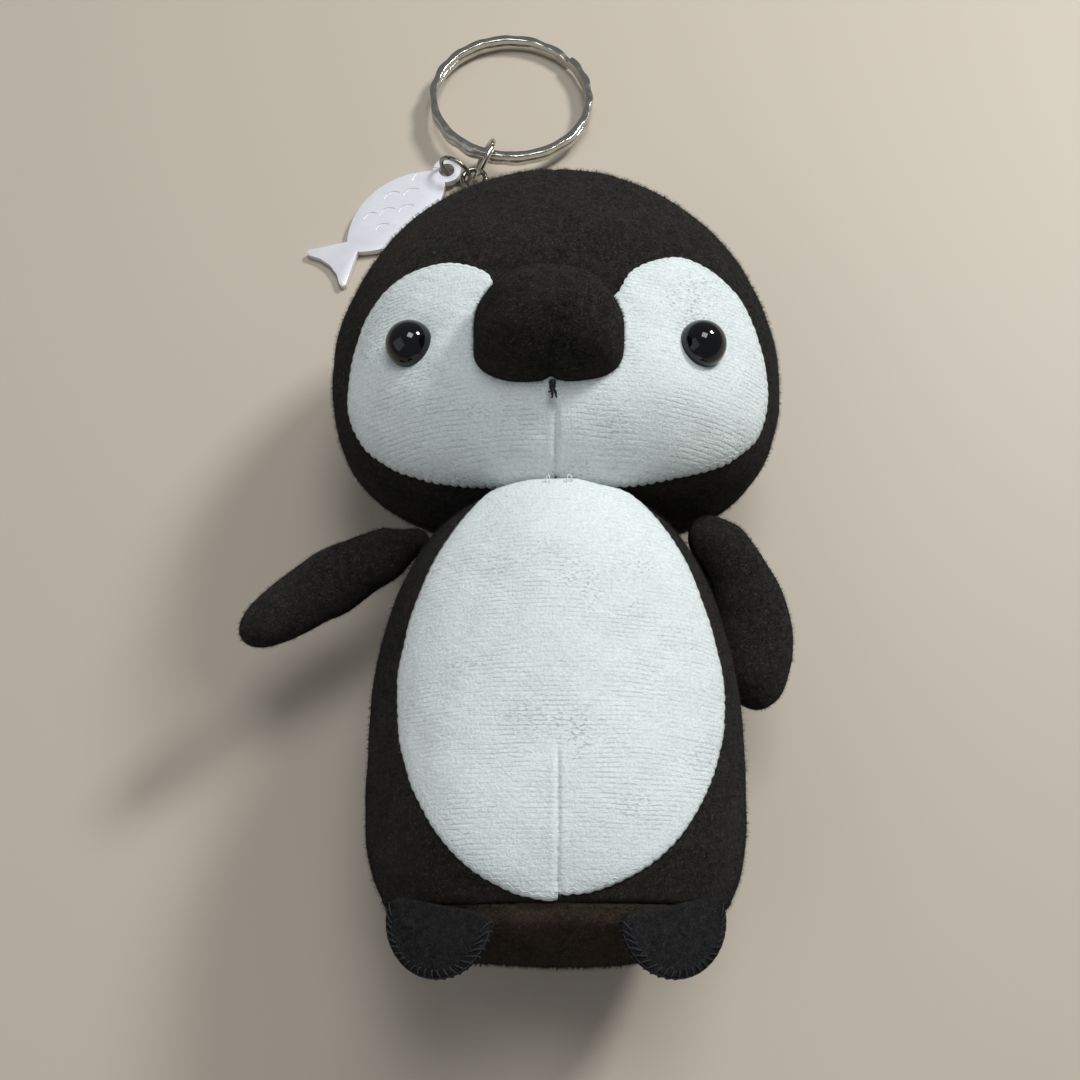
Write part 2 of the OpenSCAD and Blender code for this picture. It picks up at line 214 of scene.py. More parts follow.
def triangles(obj: Obj) -> Array:
    """The mesh's triangles as rows of three vertex numbers."""
    obj.data.calc_loop_triangles()
    out = np.zeros(len(obj.data.loop_triangles) * 3, np.int32)
    obj.data.loop_triangles.foreach_get("vertices", out)
    return out.reshape(-1, 3)


def mesh_of(name: str, verts: Array, faces: list) -> Obj:
    """A new object from vertices and faces, shaded smooth.

    Args:
        name: its name.
        verts: the vertices, as rows.
        faces: each face's vertex numbers.

    Returns:
        The object.
    """
    mesh = bpy.data.meshes.new(name)
    mesh.from_pydata(np.asarray(verts).tolist(), [], [list(map(int, f)) for f in faces])
    obj = bpy.data.objects.new(name, mesh)
    bpy.context.scene.collection.objects.link(obj)
    mesh.shade_smooth()
    return obj


def joined(objs: list[Obj], name: str) -> Obj:
    """Join several objects into the first one and give it a name.

    Args:
        objs: the objects to join.
        name: the new name of the first.

    Returns:
        The first object, which now holds them all.
    """
    deselect()
    for obj in objs:
        obj.select_set(True)
    bpy.context.view_layer.objects.active = objs[0]
    bpy.ops.object.join()
    objs[0].name = objs[0].data.name = name
    return objs[0]


def boolean(obj: Obj, tool: Obj, operation: str) -> Obj:
    """Cut or add one closed mesh with another, which is then removed.

    Args:
        obj: the mesh that stays.
        tool: the mesh that cuts it or is added to it.
        operation: DIFFERENCE, UNION or INTERSECT.

    Returns:
        The mesh that stays.
    """
    cut = obj.modifiers.new("cut", "BOOLEAN")
    cut.operation, cut.solver, cut.object = operation, "EXACT", tool
    apply_modifiers(obj)
    bpy.data.objects.remove(tool)
    return obj


def rounded(obj: Obj, width: float, segments: int = 2, angle: float = 30) -> Obj:
    """Bevel the edges sharper than an angle, and shade the rest smooth.

    Args:
        obj: the mesh object.
        width: the bevel's width.
        segments: steps across the bevel.
        angle: the least turn between two faces that is bevelled, in degrees.

    Returns:
        The same object.
    """
    bevel = obj.modifiers.new("bevel", "BEVEL")
    bevel.width, bevel.segments = width, segments
    bevel.limit_method, bevel.angle_limit = "ANGLE", math.radians(angle)
    bevel.use_clamp_overlap = True
    apply_modifiers(obj)
    bpy.ops.object.shade_smooth_by_angle(angle=math.radians(angle + 5))
    return obj


def settle(obj: Obj) -> Obj:
    """Put a mesh in millimetres above the base into the frame, in metres.

    Args:
        obj: the finished mesh.

    Returns:
        The same object.
    """
    place = Matrix.Translation((0, BASE_Y, 0)) @ Matrix.Scale(MM, 4)
    obj.data.transform(place)
    obj.data.update()
    return obj


def run_along(line: Array) -> Array:
    """Each point's distance along a line from its start."""
    return np.concatenate([[0], np.cumsum(np.linalg.norm(np.diff(line, axis=0), axis=1))])


def face_out() -> None:
    """Point all faces of the mesh in edit mode outwards."""
    bpy.ops.mesh.select_all(action="SELECT")
    bpy.ops.mesh.normals_make_consistent(inside=False)


def smoothstep(x: Array, start: float, end: float) -> Array:
    """0 before start and 1 after end, with a smooth turn between them.

    Args:
        x: the values to read.
        start: where the turn begins.
        end: where it is complete.

    Returns:
        One number for each value.
    """
    t = np.clip((x - start) / (end - start), 0, 1)
    return t * t * (3 - 2 * t)


def lumps(co: Array, size: float, amount: float, seed: int) -> Array:
    """Soft random heights over a surface, as hand stuffing leaves them.

    Args:
        co: where they are wanted, as rows.
        size: distance between lumps.
        amount: their greatest height.
        seed: number that sets the pattern.

    Returns:
        One height for each row.
    """
    rng = np.random.default_rng(seed)
    waves = rng.normal(size=(9, 3))
    waves *= 2 * math.pi / size / np.linalg.norm(waves, axis=1)[:, None]
    phases = rng.uniform(0, 2 * math.pi, 9)
    return amount * np.sin(co @ waves.T + phases).sum(axis=1) / 4


# ---- stuffed covers -----------------------------------------------------------


@dataclass(frozen=True)
class Form:
    """An egg whose upper and lower halves and front and back may differ.

    Each half is a superellipse; a greater exponent is squarer.
    """

    low: float
    mid: float
    high: float
    half_w: float
    front: float
    back: float
    p_low: float
    p_high: float
    p_round: float
    p_depth: float
    centre_x: float = 0.0
    mid_z: float = MID_Z

    def share(self, t: Array, p_up: float) -> Array:
        """How wide the form is at the share t of its height, from 0 to 1."""
        p = np.where(t < 0, self.p_low, p_up)
        return np.maximum(0, 1 - np.abs(t) ** p) ** (1 / p)

    def cover(self, unit: Array, grow: float = 0.0) -> Array:
        """Points of the form's surface in the directions of unit vectors.

        Args:
            unit: unit vectors, as rows.
            grow: how much larger the surface is.

        Returns:
            The points, as rows.
        """
        t = np.clip(unit[:, 1], -1, 1)
        y = self.mid + t * (np.where(t < 0, self.mid - self.low, self.high - self.mid) + grow)
        a = np.arctan2(unit[:, 2], unit[:, 0])
        r = (np.abs(np.cos(a)) ** self.p_round + np.abs(np.sin(a)) ** self.p_round) ** (-1 / self.p_round)
        depth = np.where(np.sin(a) > 0, self.front, self.back) + grow
        x = self.centre_x + r * np.cos(a) * self.share(t, self.p_high) * (self.half_w + grow)
        z = self.mid_z + r * np.sin(a) * self.share(t, self.p_depth) * depth
        return np.column_stack([x, y, z])

    def front_z(self, x: Array, y: Array) -> Array:
        """Height of the form's front over points x, y.

        Args:
            x: how far each point is to the right.
            y: its height above the base.

        Returns:
            One height for each point.
        """
        t = (y - self.mid) / np.where(y < self.mid, self.mid - self.low, self.high - self.mid)
        t = np.clip(t, -0.995, 0.995)
        wide = np.clip(np.abs(x - self.centre_x) / self.half_w / self.share(t, self.p_high), 0, 0.995)
        deep = (1 - wide**self.p_round) ** (1 / self.p_round)
        return self.mid_z + deep * self.share(t, self.p_depth) * self.front

    def under_y(self, x: Array, z: Array) -> Array:
        """Height of the form's underside over points x, z, and its middle where it has none.

        Args:
            x: how far each point is to the right.
            z: its height above the back.

        Returns:
            One height for each point.
        """
        depth = np.where(z > self.mid_z, self.front, self.back)
        wide = np.abs(x / self.half_w) ** self.p_round + np.abs((z - self.mid_z) / depth) ** self.p_round
        wide = wide ** (1 / self.p_round)
        t = np.maximum(0, 1 - np.minimum(wide, 1) ** self.p_low) ** (1 / self.p_low)
        return np.where(wide < 1, self.mid - t * (self.mid - self.low), self.mid)


HEAD_FORM = Form(61.5, 88.5, 125, 35.6, 26, 26, 2.9, 1.85, 2.15, 1.85)
BODY_FORM = Form(0, 27, 68, 27, 24.5, 26, 3.4, 2.4, 2.2, 3.4)


def ball_of(name: str, cuts: int) -> Obj:
    """A unit ball of even square faces, with no poles.

    Args:
        name: the new object's name.
        cuts: how many times each side of the starting cube is cut.

    Returns:
        The ball.
    """
    deselect()
    bpy.ops.mesh.primitive_cube_add(size=2)
    obj = started(name)
    with editing(obj):
        bpy.ops.mesh.subdivide(number_cuts=cuts)
    co = np.tan(points(obj) * math.pi / 4)
    move_points(obj, co / np.linalg.norm(co, axis=1)[:, None])
    obj.data.shade_smooth()
    return obj


def on_floor(co: Array) -> Array:
    """Press points flat where they would reach below the penguin's back.

    Args:
        co: the points, as rows.

    Returns:
        The pressed points.
    """
    press = 0.5
    out = co.copy()
    out[:, 2] = 0.5 * (co[:, 2] + np.sqrt(co[:, 2] ** 2 + press**2))
    return out


def under_head(co: Array, gap: float = 0.5) -> Array:
    """Press points that would reach into the head against its underside.

    Args:
        co: the points, as rows.
        gap: the room that is left below the head.

    Returns:
        The pressed points.
    """
    soft = 0.5
    room = HEAD_FORM.under_y(co[:, 0], co[:, 2]) - gap - co[:, 1]
    out = co.copy()
    out[:, 1] += room - soft * np.logaddexp(0, room / soft)
    return out


def swell(obj: Obj, cap: float, sewn: Array) -> Obj:
    """Let a cloth simulation press a cover outwards, as its stuffing does.

    It moves most points by only a few hundredths of a millimetre.

    Args:
        obj: the cover, closed and a little too small, in millimetres.
        cap: the furthest that a point may move.
        sewn: for each vertex, 1 where a seam holds it and 0 where it is free.

    Returns:
        The cover.
    """
    rest = points(obj)
    group = obj.vertex_groups.new(name="sewn")
    for weight in range(1, PINS + 1):
        chosen = np.flatnonzero(np.round(sewn * PINS) == weight)
        if len(chosen):
            group.add(chosen.tolist(), weight / PINS, "REPLACE")
    move_points(obj, rest * SIM_SCALE)
    cloth = obj.modifiers.new("cloth", "CLOTH")
    cloth.settings.quality = 4
    cloth.settings.mass = 0.15
    cloth.settings.use_pressure = True
    cloth.settings.uniform_pressure_force = 4
    cloth.settings.effector_weights.gravity = 0
    cloth.settings.vertex_group_mass = "sewn"
    cloth.collision_settings.use_collision = False
    cloth.point_cache.frame_start, cloth.point_cache.frame_end = 1, SIM_FRAMES
    for number in range(1, SIM_FRAMES + 1):
        bpy.context.scene.frame_set(number)
    apply_modifiers(obj)
    bpy.context.scene.frame_set(1)
    moved = points(obj) / SIM_SCALE - rest
    far = np.linalg.norm(moved, axis=1)
    LOG.info("%s swelled by %.2f mm on average, %.2f at most", obj.name, far.mean(), far.max())
    move_points(obj, rest + moved * np.minimum(1, cap / np.maximum(far, 1e-9))[:, None])
    obj.vertex_groups.clear()
    return obj


def finer(obj: Obj, levels: int = 1) -> Obj:
    """Subdivide a cover smoothly.

    Args:
        obj: the cover.
        levels: how many times.

    Returns:
        The same object.
    """
    sub = obj.modifiers.new("finer", "SUBSURF")
    sub.levels = sub.render_levels = levels
    return apply_modifiers(obj)


def push(obj: Obj, depth: Array) -> Obj:
    """Move a cover's vertices along their normals, out where depth is above 0."""
    move_points(obj, points(obj) + vertex_normals(obj) * depth[:, None])
    return obj


def groove(distance: Array, along: Array, depth: float, width: float) -> Array:
    """Depths of a sewn seam's valley, with small puckers across it.

    Args:
        distance: how far each point is from the seam.
        along: each point's place along the seam.
        depth: how deep the seam lies.
        width: half width of the valley.

    Returns:
        One depth for each point, below 0 in the valley.
    """
    pucker = 1 + 0.22 * np.sin(along * 2.9) + 0.16 * np.sin(along * 4.7 + 1.3)
    shoulder = 0.25 * np.exp(-(((np.abs(distance) - 2.4 * width) / (1.3 * width)) ** 2))
    return -depth * (pucker * np.exp(-((distance / width) ** 2)) - shoulder)


@dataclass
class Surface:
    """A finished mesh that patches, stitches and fibres are laid on."""

    obj: Obj
    tree: BVHTree = field(init=False)
    co: Array = field(init=False)
    tris: Array = field(init=False)
    normals: Array = field(init=False)

    def __post_init__(self) -> None:
        """Read the mesh once."""
        self.co, self.tris, self.normals = points(self.obj), triangles(self.obj), vertex_normals(self.obj)
        self.tree = BVHTree.FromPolygons(self.co.tolist(), self.tris.tolist())

    def nearest(self, wanted: Array) -> tuple[Array, Array]:
        """The surface's nearest points and smooth normals.

        Args:
            wanted: points near the surface, as rows.

        Returns:
            The nearest points, and the unit normals there.
        """
        hits = [self.tree.find_nearest(p) for p in wanted.tolist()]
        at = np.array([tuple(h[0]) for h in hits])
        tri = self.tris[[h[2] for h in hits]]
        a, b, c = (self.co[tri[:, i]] for i in range(3))
        area = np.linalg.norm(np.cross(b - a, c - a), axis=1)[:, None] + 1e-12
        wa = np.linalg.norm(np.cross(b - at, c - at), axis=1)[:, None] / area
        wb = np.linalg.norm(np.cross(c - at, a - at), axis=1)[:, None] / area
        wc = np.clip(1 - wa - wb, 0, 1)
        n = wa * self.normals[tri[:, 0]] + wb * self.normals[tri[:, 1]] + wc * self.normals[tri[:, 2]]
        return at, n / np.linalg.norm(n, axis=1)[:, None]

    def scattered(self, per_mm2: float, rng: np.random.Generator) -> tuple[Array, Array]:
        """Random points and their normals, evenly spread over the surface.

        Args:
            per_mm2: how many there are on each square millimetre.
            rng: where the random numbers come from.

        Returns:
            The points and the unit normals there, as rows.
        """
        a, b, c = (self.co[self.tris[:, i]] for i in range(3))
        area = np.linalg.norm(np.cross(b - a, c - a), axis=1) / 2
        pick = rng.choice(len(area), int(area.sum() * per_mm2), p=area / area.sum())
        u, v = rng.random((2, len(pick), 1))
        u, v = 1 - np.sqrt(u), v * np.sqrt(u)
        at = a[pick] * (1 - u - v) + b[pick] * u + c[pick] * v
        n = sum(self.normals[self.tris[pick, i]] * w for i, w in enumerate((1 - u - v, u, v)))
        return at, n / np.linalg.norm(n, axis=1)[:, None]


@dataclass(frozen=True)
class Pile:
    """Short fibres that stand out of a fabric, each a thin closed spike."""

    per_mm2: float
    length: float
    thick: float
    lean: float
    seed: int

    def grow(self, name: str, surface: Surface, keep: Callable[[Array], Array] | None = None) -> Obj:
        """Stand fibres all over a surface.

        Args:
            name: the new piece's name.
            surface: what they grow on.
            keep: says for rows of points which of them may hold a fibre.

        Returns:
            The fibres, as one piece.
        """
        rng = np.random.default_rng(self.seed)
        root, normal = surface.scattered(self.per_mm2, rng)
        if keep is not None:
            kept = keep(root)
            root, normal = root[kept], normal[kept]
        n = len(root)
        side = np.cross(normal, rng.normal(size=(n, 3)))
        side /= np.linalg.norm(side, axis=1)[:, None]
        other = np.cross(normal, side)
        lean = side * rng.uniform(0, self.lean, (n, 1))
        rise = self.length * rng.uniform(0.35, 1.15, (n, 1)) ** 1.2
        foot = [root - 0.08 * normal + self.thick * (side * math.cos(a) + other * math.sin(a))
                for a in (0, 2 * math.pi / 3, 4 * math.pi / 3)]
        tip = root + rise * (normal + lean)
        verts = np.stack([*foot, tip], axis=1).reshape(-1, 3)
        start = (np.arange(n) * 4)[:, None, None]
        faces = (start + np.array([[0, 2, 1], [0, 1, 3], [1, 2, 3], [2, 0, 3]])).reshape(-1, 3)
        LOG.info("%s has %d fibres", name, n)
        obj = mesh_of(name, verts, faces)
        obj.data.normals_split_custom_set_from_vertices(np.repeat(normal, 4, axis=0).tolist())
        return obj


# ---- sewing -------------------------------------------------------------------


def curve_through(knots: list[tuple[float, float]], step: float, closed: bool = True) -> Array:
    """Evenly spaced points on a smooth line through a few knots.

    Args:
        knots: the points that it passes through.
        step: distance between the points returned.
        closed: whether it comes back to its start.

    Returns:
        The points, as rows.
    """
    k = np.array(knots, float)
    if closed:
        ends = np.vstack([k[-1], k, k[0], k[1]])
    else:
        ends = np.vstack([2 * k[0] - k[1], k, 2 * k[-1] - k[-2]])
    t = np.linspace(0, 1, 24, endpoint=False)[:, None]
    parts = []
    for a, b, c, d in zip(ends, ends[1:], ends[2:], ends[3:]):
        parts.append(0.5 * (2 * b + (c - a) * t + (2 * a - 5 * b + 4 * c - d) * t**2
                            + (3 * b - a - 3 * c + d) * t**3))
    line = np.vstack([*parts, k[:1] if closed else k[-1:]])
    run = run_along(line)
    count = max(8, round(run[-1] / step))
    at = np.linspace(0, run[-1], count, endpoint=not closed)
    return np.column_stack([np.interp(at, run, line[:, i]) for i in range(line.shape[1])])


def inside(outline: Array, xy: Array) -> Array:
    """Which of the points x, y lie inside a closed outline.

    Args:
        outline: the outline's corners, as rows.
        xy: the points, as rows.

    Returns:
        True or False for each point.
    """
    out = np.zeros(len(xy), bool)
    for (ax, ay), (bx, by) in zip(outline, np.roll(outline, -1, axis=0)):
        crosses = (ay > xy[:, 1]) != (by > xy[:, 1])
        with np.errstate(divide="ignore", invalid="ignore"):
            out ^= crosses & (xy[:, 0] < (bx - ax) * (xy[:, 1] - ay) / (by - ay) + ax)
    return out


def tube_faces(rings: int, sides: int, start: int = 0) -> list:
    """Faces of a tube of rings of vertices, with both ends closed.

    Args:
        rings: how many rings there are.
        sides: how many vertices each has.
        start: the first vertex's number.

    Returns:
        The vertex numbers of each face.
    """
    faces = []
    for i in range(rings - 1):
        for j in range(sides):
            a, b = start + i * sides + j, start + i * sides + (j + 1) % sides
            faces.append((a, b, b + sides, a + sides))
    last = start + (rings - 1) * sides
    faces.append(tuple(range(start + sides - 1, start - 1, -1)))
    faces.append(tuple(range(last, last + sides)))
    return faces


def thread(name: str, paths: list[Array], radius: float, sides: int = 6) -> Obj:
    """Round threads along paths, as one piece.

    Args:
        name: the new object's name.
        paths: for each thread, the points that it follows.
        radius: the thread's radius.
        sides: corners round the thread.

    Returns:
        The threads.
    """
    verts, faces = [], []
    for path in paths:
        ahead = np.gradient(path, axis=0)
        ahead /= np.linalg.norm(ahead, axis=1)[:, None] + 1e-12
        u = np.cross(ahead[0], (0.31, 0.17, 0.93))
        rows = []
        for p, t in zip(path, ahead):
            u = u - t * (u @ t)
            u /= np.linalg.norm(u)
            w = np.cross(t, u)
            a = np.arange(sides) * 2 * math.pi / sides
            rows.append(p + radius * (np.cos(a)[:, None] * u + np.sin(a)[:, None] * w))
        faces += tube_faces(len(path), sides, sum(len(v) for v in verts))
        verts.append(np.vstack(rows))
    return mesh_of(name, np.vstack(verts), faces)


def disc(outline: Array, centre: tuple[float, float], rings: int) -> tuple[Array, Array, list]:
    """A flat sheet with an outline, in rings that close in on its centre.

    Args:
        outline: the cut edge, as rows x, y, counter-clockwise.
        centre: a point that sees the whole edge.
        rings: how many rings of faces it has.

    Returns:
        Rows x, y; each row's share of the way out to the edge; and the faces.
    """
    n = len(outline)
    shares = np.linspace(0, 1, rings + 1)[1:] ** 0.85
    mid = np.array(centre)
    xy = np.vstack([mid[None]] + [mid + s * (outline - mid) for s in shares])
    share = np.concatenate([[0]] + [np.full(n, s) for s in shares])
    faces = [(0, 1 + j, 1 + (j + 1) % n) for j in range(n)]
    for i in range(rings - 1):
        a = 1 + i * n
        faces += [(a + j, a + n + j, a + n + (j + 1) % n, a + (j + 1) % n) for j in range(n)]
    return xy, share, faces


def thickened(obj: Obj, thickness: float, offset: float = -1.0) -> Obj:
    """Give a sheet its thickness, inwards unless offset says otherwise.

    Args:
        obj: the sheet.
        thickness: its new thickness.
        offset: -1 for inwards, 0 for both ways.

    Returns:
        The same object.
    """
    solid = obj.modifiers.new("solid", "SOLIDIFY")
    solid.thickness, solid.offset = thickness, offset
    return apply_modifiers(obj)


# ---- finishes -----------------------------------------------------------------


class Graph:
    """Adds nodes to a node tree and joins them."""

    def __init__(self, tree: bpy.types.NodeTree) -> None:
        """Work on a tree."""
        self.tree = tree

    def add(self, kind: str, inputs: dict | None = None, **settings: object) -> bpy.types.Node:
        """Add a node.

        Args:
            kind: the node's type.
            inputs: sockets or values for its inputs, by name or number.
            settings: the node's own properties.

        Returns:
            The node.
        """
        node = self.tree.nodes.new(kind)
        for name, value in settings.items():
            setattr(node, name, value)
        for name, value in (inputs or {}).items():
            if isinstance(value, Socket):
                self.tree.links.new(value, node.inputs[name])
            elif isinstance(value, tuple) and len(value) == 3 and node.inputs[name].type == "RGBA":
                node.inputs[name].default_value = (*value, 1)
            else:
                node.inputs[name].default_value = value
        return node

    def math(self, operation: str, a: Socket | float, b: Socket | float = 0.0) -> Socket:
        """A Math node's result."""
        return self.add("ShaderNodeMath", {0: a, 1: b}, operation=operation).outputs[0]

    def noise(self, place: Socket, scale: float, detail: float = 2.0, rough: float = 0.5) -> Socket:
        """Noise from 0 to 1 at a place in millimetres.

        Args:
            place: the place.
            scale: how fine it is.
            detail: how many finer layers it has.
            rough: how strong those are.

        Returns:
            The noise.
        """
        inputs = {"Vector": place, "Scale": scale, "Detail": detail, "Roughness": rough}
        return self.add("ShaderNodeTexNoise", inputs).outputs[0]

    def between(self, value: Socket, low: float, high: float) -> Socket:
        """0 where the value is low, 1 where it is high.

        Args:
            value: the value to read.
            low: what counts as low.
            high: what counts as high.

        Returns:
            The share between them.
        """
        inputs = {"Value": value, "From Min": low, "From Max": high}
        return self.add("ShaderNodeMapRange", inputs, clamp=True).outputs[0]

    def mix(self, share: Socket | float, a: Socket | Colour, b: Socket | Colour, how: str = "MIX") -> Socket:
        """A mix of two colours.

        Args:
            share: how much there is of the second.
            a: the first colour.
            b: the second colour.
            how: the way they are mixed.

        Returns:
            The mixed colour.
        """
        node = self.add("ShaderNodeMix", {0: share}, data_type="RGBA", blend_type=how)
        for number, value in ((6, a), (7, b)):
            if isinstance(value, Socket):
                self.tree.links.new(value, node.inputs[number])
            else:
                node.inputs[number].default_value = (*value, 1)
        return node.outputs[2]

    def stretch(self, place: Socket, scale: Colour) -> Socket:
        """The place with each axis scaled."""
        return self.add("ShaderNodeVectorMath", {0: place, 1: scale}, operation="MULTIPLY").outputs[0]


def effect(name: str, inputs: dict[str, str], outputs: dict[str, str],
           fill: Callable[[Graph, dict[str, Socket]], dict[str, Socket]]) -> bpy.types.NodeTree:
    """A shader node group, built once.

    Args:
        name: the group's name.
        inputs: its inputs and their kinds: Float, Color or Vector.
        outputs: its outputs and their kinds.
        fill: adds its nodes and returns the socket for each output.

    Returns:
        The group.
    """
    found = bpy.data.node_groups.get(name)
    if found:
        return found
    tree = bpy.data.node_groups.new(name, "ShaderNodeTree")
    for direction, sockets in (("INPUT", inputs), ("OUTPUT", outputs)):
        for label, kind in sockets.items():
            tree.interface.new_socket(label, in_out=direction, socket_type="NodeSocket" + kind)
    graph = Graph(tree)
    entry = graph.add("NodeGroupInput")
    leave = graph.add("NodeGroupOutput")
    for label, socket in fill(graph, {s.name: s for s in entry.outputs if s.name}).items():
        tree.links.new(socket, leave.inputs[label])
    return tree


def fill_pile(g: Graph, i: dict[str, Socket]) -> dict[str, Socket]:
    """Nodes of the look of short pile: clumps, worn patches and stray light or dark fibres.

    Args:
        g: the group's graph.
        i: the group's inputs, by name.

    Returns:
        The socket for each output.
    """
    clumps = g.noise(i["Place"], 1.1, 3.0, 0.6)
    fibres = g.noise(i["Place"], 5.5, 2.0, 0.7)
    patches = g.noise(i["Place"], 0.09, 3.0, 0.6)
    tone = g.math("ADD", g.math("MULTIPLY", clumps, 0.45), g.math("MULTIPLY", fibres, 0.55))
    colour = g.mix(g.between(tone, 0.4, 0.6), i["Deep"], i["Lit"])
    colour = g.mix(g.math("MULTIPLY", g.between(patches, 0.42, 0.75), 0.55), colour, i["Worn"])
    flecks = g.between(g.noise(i["Place"], 3.1, 0.0), 0.64, 0.74)
    colour = g.mix(g.math("MULTIPLY", flecks, i["Fleck Share"]), colour, i["Fleck"])
    return {"Color": colour, "Height": tone}


def fill_knit(g: Graph, i: dict[str, Socket]) -> dict[str, Socket]:
    """Nodes of the look of brushed knit: faint broken rows under a thin nap, with dark specks.

    Args:
        g: the group's graph.
        i: the group's inputs, by name.

    Returns:
        The socket for each output.
    """
    wander = g.math("MULTIPLY", g.math("SUBTRACT", g.noise(i["Place"], 0.1, 1.0), 0.5), 1.2)
    split = g.add("ShaderNodeSeparateXYZ", {0: i["Place"]})
    height = g.math("ADD", split.outputs[1], wander)
    rows = g.math("SINE", g.math("MULTIPLY", height, 10.5))
    broken = g.noise(g.stretch(i["Place"], (0.55, 2.4, 1.0)), 0.9, 3.0, 0.65)
    seen = g.between(g.noise(i["Place"], 0.11, 1.0), 0.4, 0.62)
    row_shade = g.math("MULTIPLY", g.between(rows, -0.2, 0.9), g.between(broken, 0.38, 0.58))
    row_shade = g.math("MULTIPLY", row_shade, g.math("ADD", g.math("MULTIPLY", seen, 0.65), 0.35))
    nap = g.noise(i["Place"], 2.6, 3.0, 0.7)
    colour = g.mix(g.between(nap, 0.38, 0.62), i["Shade"], i["Yarn"])
    colour = g.mix(g.math("MULTIPLY", row_shade, 0.36), colour, i["Row"])
    patches = g.between(g.noise(i["Place"], 0.07, 3.0, 0.6), 0.45, 0.75)
    colour = g.mix(g.math("MULTIPLY", patches, 0.3), colour, i["Worn"])
    specks = g.math("MULTIPLY",
                    g.between(g.noise(g.stretch(i["Place"], (1.0, 2.2, 1.0)), 2.0, 0.0), 0.6, 0.7),
                    g.between(g.noise(i["Place"], 0.1, 1.0), 0.56, 0.68))
    colour = g.mix(g.math("MULTIPLY", specks, 0.36), colour, i["Speck"])
    return {"Color": colour, "Height": g.math("SUBTRACT", nap, g.math("MULTIPLY", row_shade, 0.35))}


def fill_metal(g: Graph, i: dict[str, Socket]) -> dict[str, Socket]:
    """Nodes of the look of handled plated metal: fine scratches, smudges and dull spots.

    Args:
        g: the group's graph.
        i: the group's inputs, by name.

    Returns:
        The socket for each output.
    """
    fine = g.noise(g.stretch(i["Place"], (0.6, 5.0, 5.0)), 3.0, 4.0, 0.7)
    smudge = g.noise(i["Place"], 0.5, 3.0, 0.6)
    dull = g.between(g.noise(i["Place"], 1.3, 2.0), 0.6, 0.75)
    share = g.math("ADD", g.math("MULTIPLY", g.between(smudge, 0.4, 0.75), 0.5),
                   g.math("MULTIPLY", dull, 0.4))
    colour = g.mix(share, i["Clean"], i["Tarnish"])
    rough = g.math("ADD", i["Roughness"],
                   g.math("MULTIPLY", g.math("ADD", share, g.between(fine, 0.5, 0.8)), 0.16))
    return {"Color": colour, "Roughness": rough,
            "Height": g.math("ADD", fine, g.math("MULTIPLY", smudge, 1.5))}


def pile_group() -> bpy.types.NodeTree:
    """The group for fleece, felt and filling."""
    inputs = {"Place": "Vector", "Deep": "Color", "Lit": "Color", "Worn": "Color", "Fleck": "Color",
              "Fleck Share": "Float"}
    return effect("short_pile", inputs, {"Color": "Color", "Height": "Float"}, fill_pile)


def knit_group() -> bpy.types.NodeTree:
    """The group for brushed knit."""
    inputs = {"Place": "Vector", "Yarn": "Color", "Shade": "Color", "Row": "Color", "Worn": "Color",
              "Speck": "Color"}
    return effect("brushed_knit", inputs, {"Color": "Color", "Height": "Float"}, fill_knit)


def metal_group() -> bpy.types.NodeTree:
    """The group for handled metal."""
    inputs = {"Place": "Vector", "Clean": "Color", "Tarnish": "Color", "Roughness": "Float"}
    outputs = {"Color": "Color", "Roughness": "Float", "Height": "Float"}
    return effect("handled_metal", inputs, outputs, fill_metal)


def put(node: bpy.types.Node, values: dict[str, float]) -> None:
    """Set a node's own sockets, by name."""
    for label, value in values.items():
        node.inputs[label].default_value = value


@dataclass(frozen=True)
class Finish:
    """What every finish has: a name, a slot in the record and a material made once."""

    name: str
    slot: str

    def nodes(self, g: Graph, place: Socket, shader: bpy.types.Node) -> None:
        """Add the finish's own nodes. Each kind of finish has its own."""
        raise NotImplementedError

    def material(self) -> bpy.types.Material:
        """The finish's material."""
        label = self.name + "_finish"
        found = bpy.data.materials.get(label)
        if found:
            return found
        material = bpy.data.materials.new(label)
        material.use_nodes = True
        graph = Graph(material.node_tree)
        shader = material.node_tree.nodes["Principled BSDF"]
        coords = graph.add("ShaderNodeTexCoord").outputs["Object"]
        self.nodes(graph, graph.stretch(coords, (1 / MM, 1 / MM, 1 / MM)), shader)
        return material

    def join(self, g: Graph, shader: bpy.types.Node, group: bpy.types.Node, strength: float,
             depth: float) -> None:
        """Join a group's colour and height to the shader.

        Args:
            g: the graph that both are in.
            shader: the shader.
            group: the group.
            strength: how strong its bumps are.
            depth: how deep they are.
        """
        g.tree.links.new(group.outputs["Color"], shader.inputs["Base Color"])
        bump = g.add("ShaderNodeBump", {"Strength": strength, "Distance": depth * MM,
                                        "Height": group.outputs["Height"]})
        g.tree.links.new(bump.outputs[0], shader.inputs["Normal"])

    def coat_with(self, obj: Obj) -> None:
        """Put this finish's material on an object, in place of any other."""
        obj.data.materials.clear()
        obj.data.materials.append(self.material())

    def dress(self, obj: Obj) -> None:
        """Give a new piece this finish."""
        self.coat_with(obj)

    def dress_node(self, node: str) -> None:
        """Give a CAD node this finish."""
        self.coat_with(frame["nodes"][node])


